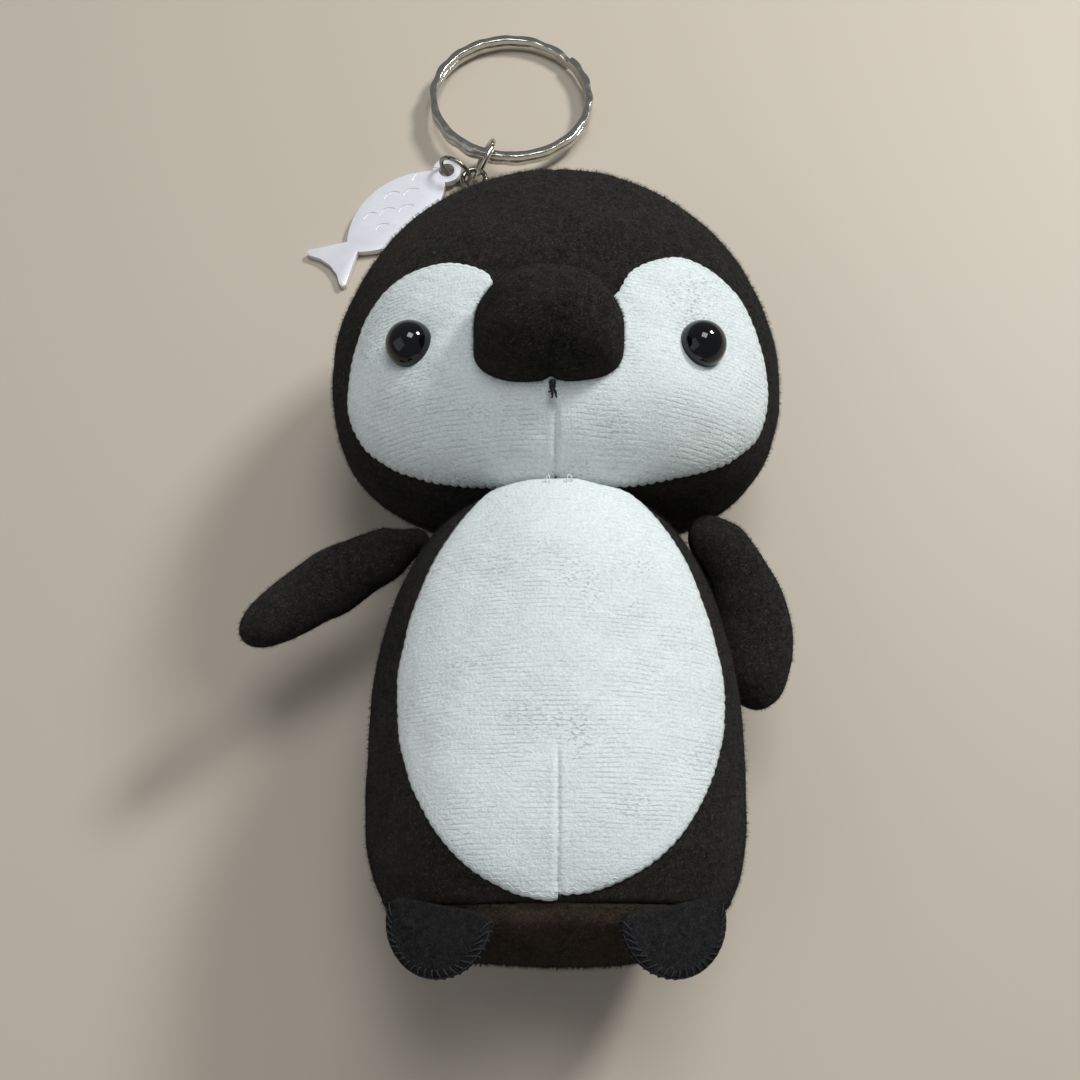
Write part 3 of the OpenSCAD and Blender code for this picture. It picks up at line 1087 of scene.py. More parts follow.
@dataclass(frozen=True)
class Fleece(Finish):
    """Short pile in two close tones, as fleece, felt or loose filling."""

    deep: Colour
    lit: Colour
    worn: Colour
    fleck: Colour = (0.09, 0.085, 0.08)
    fleck_share: float = 0.35
    sheen: float = 0.006
    depth: float = 0.5

    def nodes(self, g: Graph, place: Socket, shader: bpy.types.Node) -> None:
        """Pile nodes, and a soft sheen."""
        group = g.add("ShaderNodeGroup", node_tree=pile_group())
        for label, value in (("Deep", self.deep), ("Lit", self.lit), ("Worn", self.worn),
                             ("Fleck", self.fleck)):
            group.inputs[label].default_value = (*value, 1)
        group.inputs["Fleck Share"].default_value = self.fleck_share
        g.tree.links.new(place, group.inputs["Place"])
        self.join(g, shader, group, 1.0, self.depth)
        put(shader, {"Roughness": 1.0, "Specular IOR Level": 0.04, "Sheen Weight": self.sheen,
                     "Sheen Roughness": 0.45})


@dataclass(frozen=True)
class Knit(Finish):
    """White knit with a brushed face."""

    yarn: Colour
    shade: Colour
    row: Colour
    worn: Colour
    speck: Colour

    def nodes(self, g: Graph, place: Socket, shader: bpy.types.Node) -> None:
        """Knit nodes, and a soft sheen."""
        group = g.add("ShaderNodeGroup", node_tree=knit_group())
        for label, value in (("Yarn", self.yarn), ("Shade", self.shade), ("Row", self.row),
                             ("Worn", self.worn),
                             ("Speck", self.speck)):
            group.inputs[label].default_value = (*value, 1)
        g.tree.links.new(place, group.inputs["Place"])
        self.join(g, shader, group, 0.9, 0.17)
        put(shader, {"Roughness": 0.9, "Specular IOR Level": 0.1, "Sheen Weight": 0.03})


@dataclass(frozen=True)
class Cotton(Finish):
    """Twisted thread or woven ribbon."""

    dark: Colour
    light: Colour
    twist: float = 9.0
    sheen: float = 0.02

    def nodes(self, g: Graph, place: Socket, shader: bpy.types.Node) -> None:
        """Slanted bands as of twisted yarn, broken up by noise."""
        bands = g.add("ShaderNodeTexWave", {"Vector": place, "Scale": self.twist / 6.3, "Distortion": 1.5,
                                            "Detail": 1.0}, bands_direction="DIAGONAL")
        broken = g.noise(place, 4.0, 2.0)
        share = g.math("MULTIPLY", g.math("ADD", bands.outputs[1], broken), 0.5)
        g.tree.links.new(g.mix(share, self.dark, self.light), shader.inputs["Base Color"])
        bump = g.add("ShaderNodeBump", {"Strength": 0.8, "Distance": 0.06 * MM, "Height": bands.outputs[1]})
        g.tree.links.new(bump.outputs[0], shader.inputs["Normal"])
        put(shader, {"Roughness": 0.75, "Specular IOR Level": 0.2, "Sheen Weight": self.sheen})


@dataclass(frozen=True)
class Steel(Finish):
    """Plated steel that keys and hands have rubbed."""

    clean: Colour
    tarnish: Colour
    roughness: float
    metallic: float = 1.0
    coat: float = 0.0

    def nodes(self, g: Graph, place: Socket, shader: bpy.types.Node) -> None:
        """Metal nodes."""
        group = g.add("ShaderNodeGroup", node_tree=metal_group())
        group.inputs["Clean"].default_value = (*self.clean, 1)
        group.inputs["Tarnish"].default_value = (*self.tarnish, 1)
        group.inputs["Roughness"].default_value = self.roughness
        g.tree.links.new(place, group.inputs["Place"])
        self.join(g, shader, group, 0.35, 0.03)
        g.tree.links.new(group.outputs["Roughness"], shader.inputs["Roughness"])
        put(shader, {"Metallic": self.metallic, "Coat Weight": self.coat, "Coat Roughness": 0.12})


@dataclass(frozen=True)
class Plastic(Finish):
    """Moulded plastic, glossy or clear."""

    colour: Colour
    roughness: float
    coat: float = 0.0
    clear: float = 0.0

    def nodes(self, g: Graph, place: Socket, shader: bpy.types.Node) -> None:
        """Faint dust and handling marks in the gloss."""
        dust = g.between(g.noise(place, 2.2, 4.0, 0.7), 0.62, 0.8)
        rough = g.math("ADD", g.math("MULTIPLY", dust, 0.12), self.roughness)
        g.tree.links.new(rough, shader.inputs["Roughness"])
        dusty = tuple(c + 0.015 for c in self.colour)
        g.tree.links.new(g.mix(g.math("MULTIPLY", dust, 0.4), self.colour, dusty),
                         shader.inputs["Base Color"])
        put(shader, {"Coat Weight": self.coat, "Coat Roughness": 0.03, "Transmission Weight": self.clear})


FLEECE = Fleece("charcoal_fleece", "charcoal_fleece", (0.007, 0.0065, 0.0058), (0.031, 0.029, 0.0265),
                (0.036, 0.029, 0.0215), (0.085, 0.082, 0.076), 0.35, 0.035)
BASE_FLEECE = Fleece("brown_fleece", "charcoal_fleece_base", (0.016, 0.0115, 0.0085), (0.05, 0.037, 0.027),
                     (0.055, 0.039, 0.027))
FELT = Fleece("charcoal_felt", "charcoal_felt", (0.009, 0.0087, 0.009), (0.0235, 0.023, 0.0235),
              (0.020, 0.0185, 0.017),
              (0.05, 0.05, 0.052), 0.3, depth=0.25)
FILLING = Fleece("polyester_fill", "polyester_fill", (0.62, 0.61, 0.58), (0.85, 0.85, 0.83),
                 (0.8, 0.79, 0.75),
                 (0.95, 0.95, 0.95), 0.3, 0.3, 0.6)
KNIT = Knit("white_knit", "white_knit", (0.83, 0.885, 0.87), (0.69, 0.75, 0.735), (0.50, 0.57, 0.56),
            (0.66, 0.70, 0.65), (0.09, 0.09, 0.10))
WHITE_THREAD = Cotton("white_thread", "sewing_thread", (0.62, 0.66, 0.65), (0.82, 0.86, 0.85))
DARK_THREAD = Cotton("dark_thread", "sewing_thread", (0.012, 0.012, 0.013), (0.045, 0.045, 0.05))
BLUE_THREAD = Cotton("blanket_thread", "sewing_thread", (0.012, 0.013, 0.016), (0.036, 0.038, 0.044))
RIBBON = Cotton("black_ribbon", "ribbon", (0.012, 0.011, 0.011), (0.04, 0.038, 0.037), 14.0)
EYE_BLACK = Plastic("black_plastic", "black_plastic", (0.003, 0.003, 0.0035), 0.05)
CLEAR = Plastic("clear_plastic", "clear_plastic", (0.85, 0.87, 0.88), 0.15, clear=0.7)
NICKEL = Steel("nickel_steel", "nickel_steel", (0.60, 0.58, 0.53), (0.33, 0.30, 0.24), 0.16)
BRIGHT_NICKEL = Steel("polished_nickel", "polished_nickel", (0.80, 0.79, 0.76), (0.5, 0.48, 0.44), 0.08)
# The plain nickel painted darker: painted shade for the swivel pin and the tag ring, which lie in shadow.
SHADED_NICKEL = Steel("dark_nickel", "nickel_steel", (0.30, 0.28, 0.24), (0.16, 0.14, 0.11), 0.2)
PEARL = Steel("pearl_steel", "pearl_steel", (0.84, 0.84, 0.88), (0.72, 0.71, 0.73), 0.28, metallic=0.12,
              coat=0.7)


# ---- the penguin --------------------------------------------------------------

BODY_PILE_TOP = 63.5  # above this the head hides the body's cover
HEAD_PILE_LOW = 62.3  # below this the body hides the head's cover
EYE_X = 20.6
EYE_Y = 82.4
TAG_TAIL = [(21.6, -2.2), (24.2, -1.55), (27.4, -3.4), (30.4, -5.3), (31.1, -5.2), (31.2, -4.4), (30.2, -2.4),
            (29.8, 0), (30.2, 2.4), (31.2, 4.4), (31.1, 5.2), (30.4, 5.3), (27.4, 3.4), (24.2, 1.55),
            (21.6, 2.2)]
TAG_ARCS = ((4.2, 0, 3.6), (8.6, 0, 1.9), (11.7, 2.1, 1.9), (11.7, -2.1, 1.9), (14.8, 0, 1.9),
            (17.6, 1.7, 1.6),
            (17.6, -1.7, 1.6))  # x, y and radius of the gill and the scales
LEFT_MASK = [(-0.1, 64.0), (-0.1, 74), (-0.1, 84), (4.5, 86.2), (8.2, 88.2), (10.0, 92.0), (15.5, 94.6),
             (21.6, 94.2),
             (26.5, 91.4), (29.6, 86.4), (31.0, 79.5), (29.9, 73.3), (25.3, 68.1), (18.1, 64.8), (9.0, 63.3)]
RIGHT_MASK = [(-0.1, 64.0), (-0.1, 74), (-0.1, 84), (4.5, 86.0), (8.4, 88.0), (11.2, 92.6), (18.0, 96.4),
              (24.2, 95.0), (28.8, 90.4), (31.4, 83.2), (31.5, 77.5), (29.7, 72.3), (24.6, 67.8),
              (17.5, 65.0),
              (9.0, 63.4)]


def dressed(obj: Obj, finish: Finish, *nodes: str) -> Obj:
    """Give a piece its finish, let it stand for CAD nodes and put it in the frame.

    Args:
        obj: the piece, in millimetres.
        finish: what it is dressed in.
        nodes: the CAD nodes that it stands for.

    Returns:
        The piece.
    """
    finish.dress(obj)
    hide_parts(*nodes)
    return settle(obj)


def at_neck(obj: Obj) -> Obj:
    """Bake a settled piece of the body's own transform into its mesh."""
    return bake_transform(obj)


@dataclass
class Patch:
    """A cut piece of white knit sewn flat on a cover."""

    name: str
    node: str
    outline: Array
    centre: tuple[float, float]
    lift: Callable[[Array, Array], Array]
    scallop: float = 1.35
    scallop_depth: float = 0.18
    thickness: float = 0.5
    rings: int = 44
    seam_x: float | None = None
    seam_top: float = 0.0
    seam_low: float = 0.0
    joined_to: float = -1.0  # edges nearer to the middle than this are sewn to the other half

    def loose(self, xy: Array) -> Array:
        """How far points of the edge are from the seam with the other half, from 0 to 1."""
        return smoothstep(np.abs(xy[:, 0]), self.joined_to, self.joined_to + 0.6)

    def cut_edge(self) -> Array:
        """The outline with the small scallops that its edge stitch pulls in."""
        ahead = np.roll(self.outline, -1, axis=0) - np.roll(self.outline, 1, axis=0)
        ahead /= np.linalg.norm(ahead, axis=1)[:, None]
        out = np.column_stack([ahead[:, 1], -ahead[:, 0]])
        run = run_along(self.outline)
        wave = np.abs(np.sin(math.pi * run / self.scallop)) ** 0.7
        uneven = 0.8 + 0.35 * np.sin(run * 0.9) * np.sin(run * 0.37 + 1)
        return self.outline + out * ((wave - 0.6) * self.scallop_depth * uneven
                                     * self.loose(self.outline))[:, None]

    def seam_depth(self, xy: Array) -> Array:
        """Depths of the seam down the patch's middle, if it has one.

        Args:
            xy: the points, as rows.

        Returns:
            One depth for each point.
        """
        if self.seam_x is None:
            return np.zeros(len(xy))
        fade = smoothstep(self.seam_top - xy[:, 1], -0.5, 3.0) * smoothstep(xy[:, 1], self.seam_low - 2,
                                                                            self.seam_low)
        return fade * groove(xy[:, 0] - self.seam_x, xy[:, 1] * 1.8, 0.24, 0.3)

    def lay(self, cover: Surface) -> Obj:
        """Make the patch on a cover.

        Args:
            cover: the finished cover that it is sewn on.

        Returns:
            The patch.
        """
        xy, share, faces = disc(self.cut_edge(), self.centre, self.rings)
        rough = np.column_stack([xy, self.lift(xy[:, 0], xy[:, 1])])
        at, normal = cover.nearest(rough)
        reach = np.linalg.norm(xy - np.array(self.centre), axis=1) / np.maximum(share, 1e-3)
        inward = (1 - share) * reach
        plump = self.thickness * (0.62 + 0.38 * smoothstep(inward, 0, 1.1)) + 0.05
        high = np.maximum(plump + self.seam_depth(xy) + lumps(at, 5, 0.06, 61) + lumps(at, 1.7, 0.02, 62),
                          0.16)
        laid = at + normal * high[:, None]
        held = smoothstep(1.6 - np.abs(xy[:, 0]), 0, 1.4) if self.joined_to > 0 else np.zeros(len(xy))
        laid[:, 0] += (xy[:, 0] - laid[:, 0]) * held
        obj = mesh_of(self.name, laid, faces)
        thickened(obj, self.thickness * 0.8)
        return obj

    def edge_thread(self, patch: Surface) -> Obj:
        """The zigzag stitch that holds the patch's edge.

        Args:
            patch: the finished patch.

        Returns:
            The stitch.
        """
        edge = self.cut_edge()
        toward = np.array(self.centre) - edge
        toward /= np.linalg.norm(toward, axis=1)[:, None]
        run = run_along(edge)
        swing = 0.12 + 0.34 * np.abs(((run / self.scallop) % 1) * 2 - 1)
        path = edge + toward * swing[:, None]
        loose = self.loose(edge) > 0.5
        first = int(np.argmax(loose & ~np.roll(loose, 1)))
        path = np.roll(path, -first, axis=0)[: int(loose.sum())]
        at, normal = patch.nearest(np.column_stack([path, self.lift(path[:, 0], path[:, 1]) + 0.5]))
        return thread(self.name + "_edge_stitch", [at + normal * 0.01], 0.05, 5)


@dataclass
class Torso:
    """The stuffed body with its belly patch, base panel and seams."""

    form: Form = BODY_FORM
    side_seam_z: float = 31.0
    base_seam_y: float = 6.0
    slack: float = 0.75
    belly_half_w: float = 21.9
    belly_x: float = 0.7
    belly_mid: float = 34.5
    belly_low: float = 6.6
    belly_high: float = 70.0
    dart_x: float = 0.2
    dart_top: float = 25.5
    pile: Pile = Pile(4.2, 0.6, 0.034, 1.3, 11)

    def sewn(self, co: Array) -> Array:
        """How firmly seams hold each point of the cover, from 0 to 1.

        Args:
            co: the points, as rows.

        Returns:
            One number for each point.
        """
        side = np.exp(-(((co[:, 2] - self.side_seam_z) / 1.0) ** 2)) * smoothstep(np.abs(co[:, 0]), 6, 12)
        base = np.exp(-(((co[:, 1] - self.base_seam_y) / 1.0) ** 2))
        top = smoothstep(co[:, 1], 60.0, 61.0)
        return np.clip(side + base + top, 0, 1)

    def seams(self, co: Array) -> Array:
        """Depths of the side and base seams.

        Args:
            co: the points, as rows.

        Returns:
            One depth for each point.
        """
        around = np.arctan2(co[:, 2] - MID_Z, co[:, 0]) * 25
        reach = smoothstep(np.abs(co[:, 0]), 6, 12)
        side = reach * groove(co[:, 2] - self.side_seam_z, co[:, 1], 0.75, 0.6)
        base = groove(co[:, 1] - self.base_seam_y, around, 0.8, 0.6)
        return side + base

    def cover(self) -> Obj:
        """The fleece cover: its form, a cloth simulation, seams and soft lumps."""
        obj = ball_of("body_fleece", 44)
        co = self.form.cover(points(obj), -self.slack)
        move_points(obj, under_head(on_floor(co)))
        swell(obj, self.slack, self.sewn(points(obj)))
        finer(obj)
        co = points(obj)
        tucked = 0.9 * smoothstep(self.base_seam_y - co[:, 1], 0.2, 1.6)
        push(obj, self.seams(co) + lumps(co, 17, 0.22, 3) + lumps(co, 6, 0.06, 4) - tucked)
        move_points(obj, under_head(on_floor(points(obj))))
        return obj

    def base(self) -> Obj:
        """The browner panel under the base."""
        rings, sides = 34, 150
        end = (self.base_seam_y + 0.1 - self.form.mid) / (self.form.mid - self.form.low)
        xy, share, faces = disc(np.column_stack([np.cos(a := np.arange(sides) * 2 * math.pi / sides),
                                                 np.sin(a)]),
                                (0, 0), rings)
        around = np.arctan2(xy[:, 1], xy[:, 0])
        t = -1 + (1 + end) * share**2
        wide = np.sqrt(1 - t**2)
        co = self.form.cover(np.column_stack([np.cos(around) * wide, t, np.sin(around) * wide]))
        obj = mesh_of("base_panel_fleece", on_floor(co), faces)
        edge = self.base_seam_y - points(obj)[:, 1]
        dip = groove(edge, around * 25, 0.7, 0.7) + lumps(points(obj), 9, 0.18, 5) + 0.15 * smoothstep(edge,
                                                                                                       0, 3)
        push(obj, dip)
        move_points(obj, on_floor(points(obj)))
        return thickened(obj, 0.8)

    def belly_outline(self) -> Array:
        """The belly patch's egg shape; its left half ends a little lower at the dart."""
        a = np.linspace(0, 2 * math.pi, 700, endpoint=False) - math.pi / 2
        low = self.belly_low + 0.8 * smoothstep(self.belly_half_w * np.cos(a) + self.belly_x - self.dart_x,
                                                -0.1, 0.1)
        reach = np.where(np.sin(a) > 0, self.belly_high - self.belly_mid, self.belly_mid - low)
        p = np.where(np.sin(a) > 0, 1.62, 2.0)
        r = (np.abs(np.cos(a)) ** p + np.abs(np.sin(a)) ** p) ** (-1 / p)
        x = self.belly_x + r * self.belly_half_w * np.cos(a)
        return np.column_stack([x, self.belly_mid + r * reach * np.sin(a)])

    def belly(self) -> Patch:
        """The belly patch."""
        return Patch("belly_knit", "belly_patch", self.belly_outline(), (self.belly_x, self.belly_mid),
                     self.form.front_z, rings=60, seam_x=self.dart_x, seam_top=self.dart_top,
                     seam_low=self.belly_low)

    def loops(self, patch: Surface) -> Obj:
        """Two ends of thread that stand out where the belly patch meets the chin.

        Args:
            patch: the finished patch.

        Returns:
            The thread.
        """
        paths = []
        for x, turn_to in ((-0.9, -0.3), (1.5, 0.4)):
            at, normal = patch.nearest(np.array([[x, 63.0, 43.5]]))
            bend = np.array([(0, -1.4, -0.2), (0, -0.5, 0.25), (0.15 * turn_to, 0.25, 0.5),
                             (0.7 * turn_to, 0.75, 0.45),
                             (1.5 * turn_to, 0.5, 0.35), (1.9 * turn_to, -0.1, 0.1)])
            paths.append(curve_through(at[0] + normal[0] * 0.05 + bend, 0.12, closed=False))
        return thread("belly_thread_ends", paths, 0.09, 6)

    def build(self) -> None:
        """Make and dress every piece of the body, and fasten the base panel and its pile to the torso."""
        cover = self.cover()
        surface = Surface(cover)
        patch = self.belly()
        belly = patch.lay(surface)
        stitch = joined([patch.edge_thread(Surface(belly)), self.loops(Surface(belly))],
                        "belly_knit_edge_stitch")
        nap = Pile(2.6, 0.32, 0.03, 1.4, 13).grow("belly_nap", Surface(belly), lambda p: p[:, 2] > MID_Z)

        def bare(p: Array) -> Array:
            """Which points of the cover show."""
            covered = inside(patch.outline, p[:, :2]) & (p[:, 2] > MID_Z)
            return ~covered & (p[:, 1] > self.base_seam_y) & (p[:, 1] < BODY_PILE_TOP)

        pile = self.pile.grow("body_pile", surface, bare)
        base = self.base()
        base_pile = Pile(3.0, 0.6, 0.045, 1.1, 12).grow(
            "base_pile", Surface(base), lambda p: (p[:, 1] < self.base_seam_y) & (p[:, 2] > 0.5))
        core = ball_of("body_filling", 30)
        move_points(core, under_head(on_floor(self.form.cover(points(core), -3.2)), 2.5))
        push(core, lumps(points(core), 7, 0.5, 6))
        for obj, finish, nodes in (
            (cover, FLEECE, ("body_front_panel", "body_back_panel")),
            (pile, FLEECE, ()),
            (belly, KNIT, (patch.node,)),
            (nap, KNIT, ()),
            (stitch, WHITE_THREAD, ()),
            (core, FILLING, ("body_stuffing",)),
        ):
            at_neck(dressed(obj, finish, *nodes))
        for obj, nodes in ((base, ("base_panel",)), (base_pile, ())):
            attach(dressed(obj, BASE_FLEECE, *nodes), Body.TORSO.value)
        LOG.info("body: cover, belly patch, base panel and stuffing")


@dataclass
class Head:
    """The stuffed head and its white mask."""

    form: Form = HEAD_FORM
    side_seam_z: float = 21.0
    slack: float = 0.7
    eye_x: float = EYE_X
    eye_y: float = EYE_Y
    pile: Pile = Pile(4.0, 0.6, 0.034, 1.3, 21)

    def sewn(self, co: Array) -> Array:
        """How firmly seams hold each point of the cover, from 0 to 1.

        Args:
            co: the points, as rows.

        Returns:
            One number for each point.
        """
        side = np.exp(-(((co[:, 2] - self.side_seam_z) / 1.0) ** 2))
        centre = 0.5 * np.exp(-((co[:, 0] / 1.0) ** 2)) * smoothstep(co[:, 2], 20, 24)
        return np.clip(side + centre, 0, 1)

    def dents(self, co: Array) -> Array:
        """Depths of the seams and of the dimples that the eyes pull in.

        Args:
            co: the points, as rows.

        Returns:
            One depth for each point.
        """
        around = np.arctan2(co[:, 1] - self.form.mid, co[:, 0]) * 32
        side = groove(co[:, 2] - self.side_seam_z, around, 0.7, 0.6)
        front = smoothstep(co[:, 2], 20, 26)
        centre = front * smoothstep(co[:, 1], 84, 88) * groove(co[:, 0] + 0.2, co[:, 1], 0.16, 0.45)
        out = side + centre
        for s in (-1, 1):
            far = np.hypot(co[:, 0] - s * self.eye_x, co[:, 1] - self.eye_y)
            out -= front * 0.75 * np.exp(-((far / 4.2) ** 2))
        return out

    def cover(self) -> Obj:
        """The fleece cover: its form, a cloth simulation, seams and soft lumps."""
        obj = ball_of("head_fleece", 48)
        move_points(obj, on_floor(self.form.cover(points(obj), -self.slack)))
        swell(obj, self.slack, self.sewn(points(obj)))
        finer(obj)
        co = points(obj)
        push(obj, self.dents(co) + lumps(co, 19, 0.2, 7) + lumps(co, 6, 0.05, 8))
        move_points(obj, on_floor(points(obj)))
        return obj

    def mask(self, side: Side) -> Patch:
        """One half of the white mask.

        Args:
            side: which half.

        Returns:
            The patch.
        """
        knots = LEFT_MASK if side is Side.LEFT else RIGHT_MASK
        outline = curve_through(knots, 0.11)
        outline[:, 0] = np.maximum(outline[:, 0], -0.1) * side.value
        if side is Side.RIGHT:
            outline = outline[::-1]
        centre = (side.value * 15.5, 79.5)
        return Patch(f"face_{side.word}_knit", f"face_patch_{side.word}", outline, centre, self.form.front_z,
                     seam_x=0.0, seam_top=80.0, seam_low=60.0, joined_to=0.4)

    def build(self) -> Surface:
        """Make, dress and fasten the head's cover, stuffing and mask.

        Returns:
            The cover's surface.
        """
        cover = self.cover()
        surface = Surface(cover)
        outlines, pieces = [], [(cover, FLEECE, ("head_front_left", "head_front_right", "head_back"))]
        for number, side in enumerate(Side):
            patch = self.mask(side)
            outlines.append(patch.outline)
            knit = patch.lay(surface)
            stitch = patch.edge_thread(Surface(knit))
            nap = Pile(2.6, 0.32, 0.03, 1.4, 23 + number).grow(
                f"face_{side.word}_nap", Surface(knit), lambda p: p[:, 2] > MID_Z)
            pieces += [(knit, KNIT, (patch.node,)), (nap, KNIT, ()), (stitch, WHITE_THREAD, ())]

        def bare(p: Array) -> Array:
            """Which points of the cover show."""
            masked = inside(outlines[0], p[:, :2]) | inside(outlines[1], p[:, :2])
            return ~(masked & (p[:, 2] > MID_Z)) & (p[:, 1] > HEAD_PILE_LOW)

        pieces.append((self.pile.grow("head_pile", surface, bare), FLEECE, ()))
        core = ball_of("head_filling", 30)
        move_points(core, on_floor(self.form.cover(points(core), -5.0)) + (0, 0, 2.5))
        push(core, lumps(points(core), 7, 0.5, 9))
        pieces.append((core, FILLING, ("head_stuffing",)))
        for obj, finish, nodes in pieces:
            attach(dressed(obj, finish, *nodes), Body.HEAD.value)
        DARK_THREAD.dress_node("neck_thread")
        LOG.info("head: cover, mask and stuffing")
        return surface


@dataclass
class Beak:
    """The stuffed beak with the crease that its thread pulls in."""

    x: float = -1.0
    y: float = 82.5
    half_w: float = 11.0
    up: float = 8.7
    down: float = 8.3
    root_z: float = 48.0
    out: float = 12.3
    knot: tuple[float, float, float] = (-0.5, 73.6, 50.4)

    def cover_at(self, unit: Array, grow: float) -> Array:
        """Points of the beak's surface: round above, squarer below.

        Args:
            unit: unit vectors, as rows.
            grow: how much larger the surface is.

        Returns:
            The points, as rows.
        """
        a = np.arctan2(unit[:, 1], unit[:, 0])
        low = smoothstep(-np.sin(a), -0.1, 0.5)
        p = 2.1 + 1.5 * low
        r = (np.abs(np.cos(a)) ** p + np.abs(np.sin(a)) ** p) ** (-1 / p)
        k = (1 - np.abs(np.clip(unit[:, 2], -1, 1)) ** 2.25) ** (1 / 2.25)
        tall = np.where(np.sin(a) > 0, self.up, self.down) + grow
        x = self.x + r * np.cos(a) * k * (self.half_w + grow)
        y = self.y + r * np.sin(a) * k * tall
        return np.column_stack([x, y, self.root_z + unit[:, 2] * (self.out + grow)])

    def crease(self, co: Array) -> Array:
        """Depths of the pull-in under the beak, deepest at the knot.

        Args:
            co: the points, as rows.

        Returns:
            One depth for each point.
        """
        low = smoothstep(self.y - 3.6 - co[:, 1], 0, 4.4)
        line = np.exp(-(((co[:, 0] - self.knot[0]) / (0.45 + 0.5 * low)) ** 2))
        near = np.exp(-(np.linalg.norm(co - np.array(self.knot), axis=1) / 1.9) ** 2)
        return -(0.55 * low * line + 0.3 * near)

    def build(self) -> None:
        """Make, dress and fasten the beak."""
        cover = ball_of("beak_fleece", 30)
        unit = points(cover)
        move_points(cover, self.cover_at(unit, -0.5))
        held = smoothstep(-unit[:, 2], -0.05, 0.1)
        swell(cover, 0.5, held)
        finer(cover)
        co = points(cover)
        push(cover, self.crease(co) + lumps(co, 7, 0.12, 31))
        surface = Surface(cover)
        pile = Pile(9.0, 0.5, 0.032, 1.3, 32).grow("beak_pile", surface,
                                                   lambda p: p[:, 2] > self.root_z + 0.5)
        core = ball_of("beak_filling", 20)
        move_points(core, self.cover_at(points(core), -2.6))
        push(core, lumps(points(core), 4, 0.35, 33))
        k = np.array(self.knot)
        turns = np.linspace(0, 7 * math.pi, 90)
        wide = 0.34 + 0.08 * np.sin(turns * 1.7)
        coil = k + np.column_stack([wide * np.cos(turns), 0.045 * turns - 0.5, wide * np.sin(turns)])
        rng = np.random.default_rng(34)
        ends = []
        for _ in range(7):
            aim = np.array([rng.normal(0, 0.35), -1, rng.normal(0.1, 0.3)]) * rng.uniform(0.35, 0.6)
            bend = rng.normal(0, 0.12, 3)
            ends.append(np.array([k + (0, -0.1, 0), k + aim + bend, k + 2 * aim, k + 3 * aim - bend,
                                  k + 3.6 * aim]))
        knot = thread("beak_knot_thread", [coil, *ends], 0.13, 7)
        for obj, finish, nodes in ((cover, FLEECE, ("beak_cover",)), (pile, FLEECE, ()),
                                   (core, FILLING, ("beak_stuffing",)), (knot, DARK_THREAD, ("beak_knot",))):
            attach(dressed(obj, finish, *nodes), Body.HEAD.value)
        LOG.info("beak: cover, stuffing and knot")


def turned(name: str, profile: list[tuple[float, float]], corners: int = 48) -> Obj:
    """Build a round solid up from a disc, ring by ring, along Z.

    Args:
        name: the new object's name.
        profile: each ring's radius and height, from one end to the other.
        corners: corners round the solid.

    Returns:
        The solid.
    """
    (r, z), *rest = profile
    deselect()
    bpy.ops.mesh.primitive_circle_add(vertices=corners, radius=r, fill_type="NGON", location=(0, 0, z))
    obj = started(name)
    with editing(obj, "FACE"):
        for radius, height in rest:
            bpy.ops.mesh.extrude_region_move(TRANSFORM_OT_translate={"value": (0, 0, height - z)})
            share = radius / r
            bpy.ops.transform.resize(value=(share, share, 1), center_override=(0, 0, height))
            r, z = radius, height
        face_out()
    take(obj)
    bpy.ops.object.shade_smooth_by_angle(angle=math.radians(32))
    return obj


def wire_ring(name: str, mean_r: float, wire_r: float, slit: float = 4.0, start: float = 0.0) -> Obj:
    """A ring bent from round wire, with a fine slit where its ends meet.

    Args:
        name: the new object's name.
        mean_r: radius of the ring's middle line.
        wire_r: the wire's radius.
        slit: angle of the slit.
        start: direction of the slit's end.

    Returns:
        The ring.
    """
    deselect()
    bpy.ops.mesh.primitive_circle_add(vertices=20, radius=wire_r, fill_type="NGON", location=(mean_r, 0, 0),
                                      rotation=(math.pi / 2, 0, 0))
    obj = started(name)
    with editing(obj, "FACE"):
        bpy.ops.mesh.spin(steps=96, angle=math.radians(360 - slit), center=(0, 0, 0), axis=(0, 0, 1))
        face_out()
    obj.data.transform(turn("Z", start))
    return rounded(obj, wire_r * 0.15, 2, 50)


def turn(axis: str, degrees: float) -> Matrix:
    """A turn about an axis."""
    return Matrix.Rotation(math.radians(degrees), 4, axis)


def shift(x: float, y: float, z: float) -> Matrix:
    """A move."""
    return Matrix.Translation((x, y, z))


def heading(degrees: float) -> Vector:
    """The unit vector in a direction round Z."""
    return Vector((math.cos(math.radians(degrees)), math.sin(math.radians(degrees)), 0))


@dataclass
class Eye:
    """A glossy safety eye with its shank."""

    side: Side
    x: float = EYE_X
    y: float = EYE_Y
    z: float = 45.4
    face: float = 27.0
    dome_r: float = 3.45

    def build(self) -> None:
        """Make, dress and fasten the eye, and dress its washer."""
        dome = [(self.dome_r * math.cos(math.radians(a)), 0.2 + self.dome_r * math.sin(math.radians(a)))
                for a in range(0, 90, 6)] + [(0.06, self.dome_r + 0.2)]
        shank = [(0.8, -6), (1.08, -5.7)]
        for step in range(5):
            shank += [(1.08, -5.2 + step * 0.8), (0.95, -5.0 + step * 0.8), (1.08, -4.75 + step * 0.8)]
        obj = turned(f"eye_{self.side.word}_black", [*shank, (1.15, -0.6), (3.1, -0.5), (3.34, -0.35),
                                                              (3.43, -0.1), *dome])
        obj.data.transform(shift(self.side.value * self.x, self.y, self.z)
                           @ turn("Y", self.side.value * self.face))
        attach(dressed(obj, EYE_BLACK, f"eye_{self.side.word}"), Body.HEAD.value)
        CLEAR.dress_node(f"eye_washer_{self.side.word}")


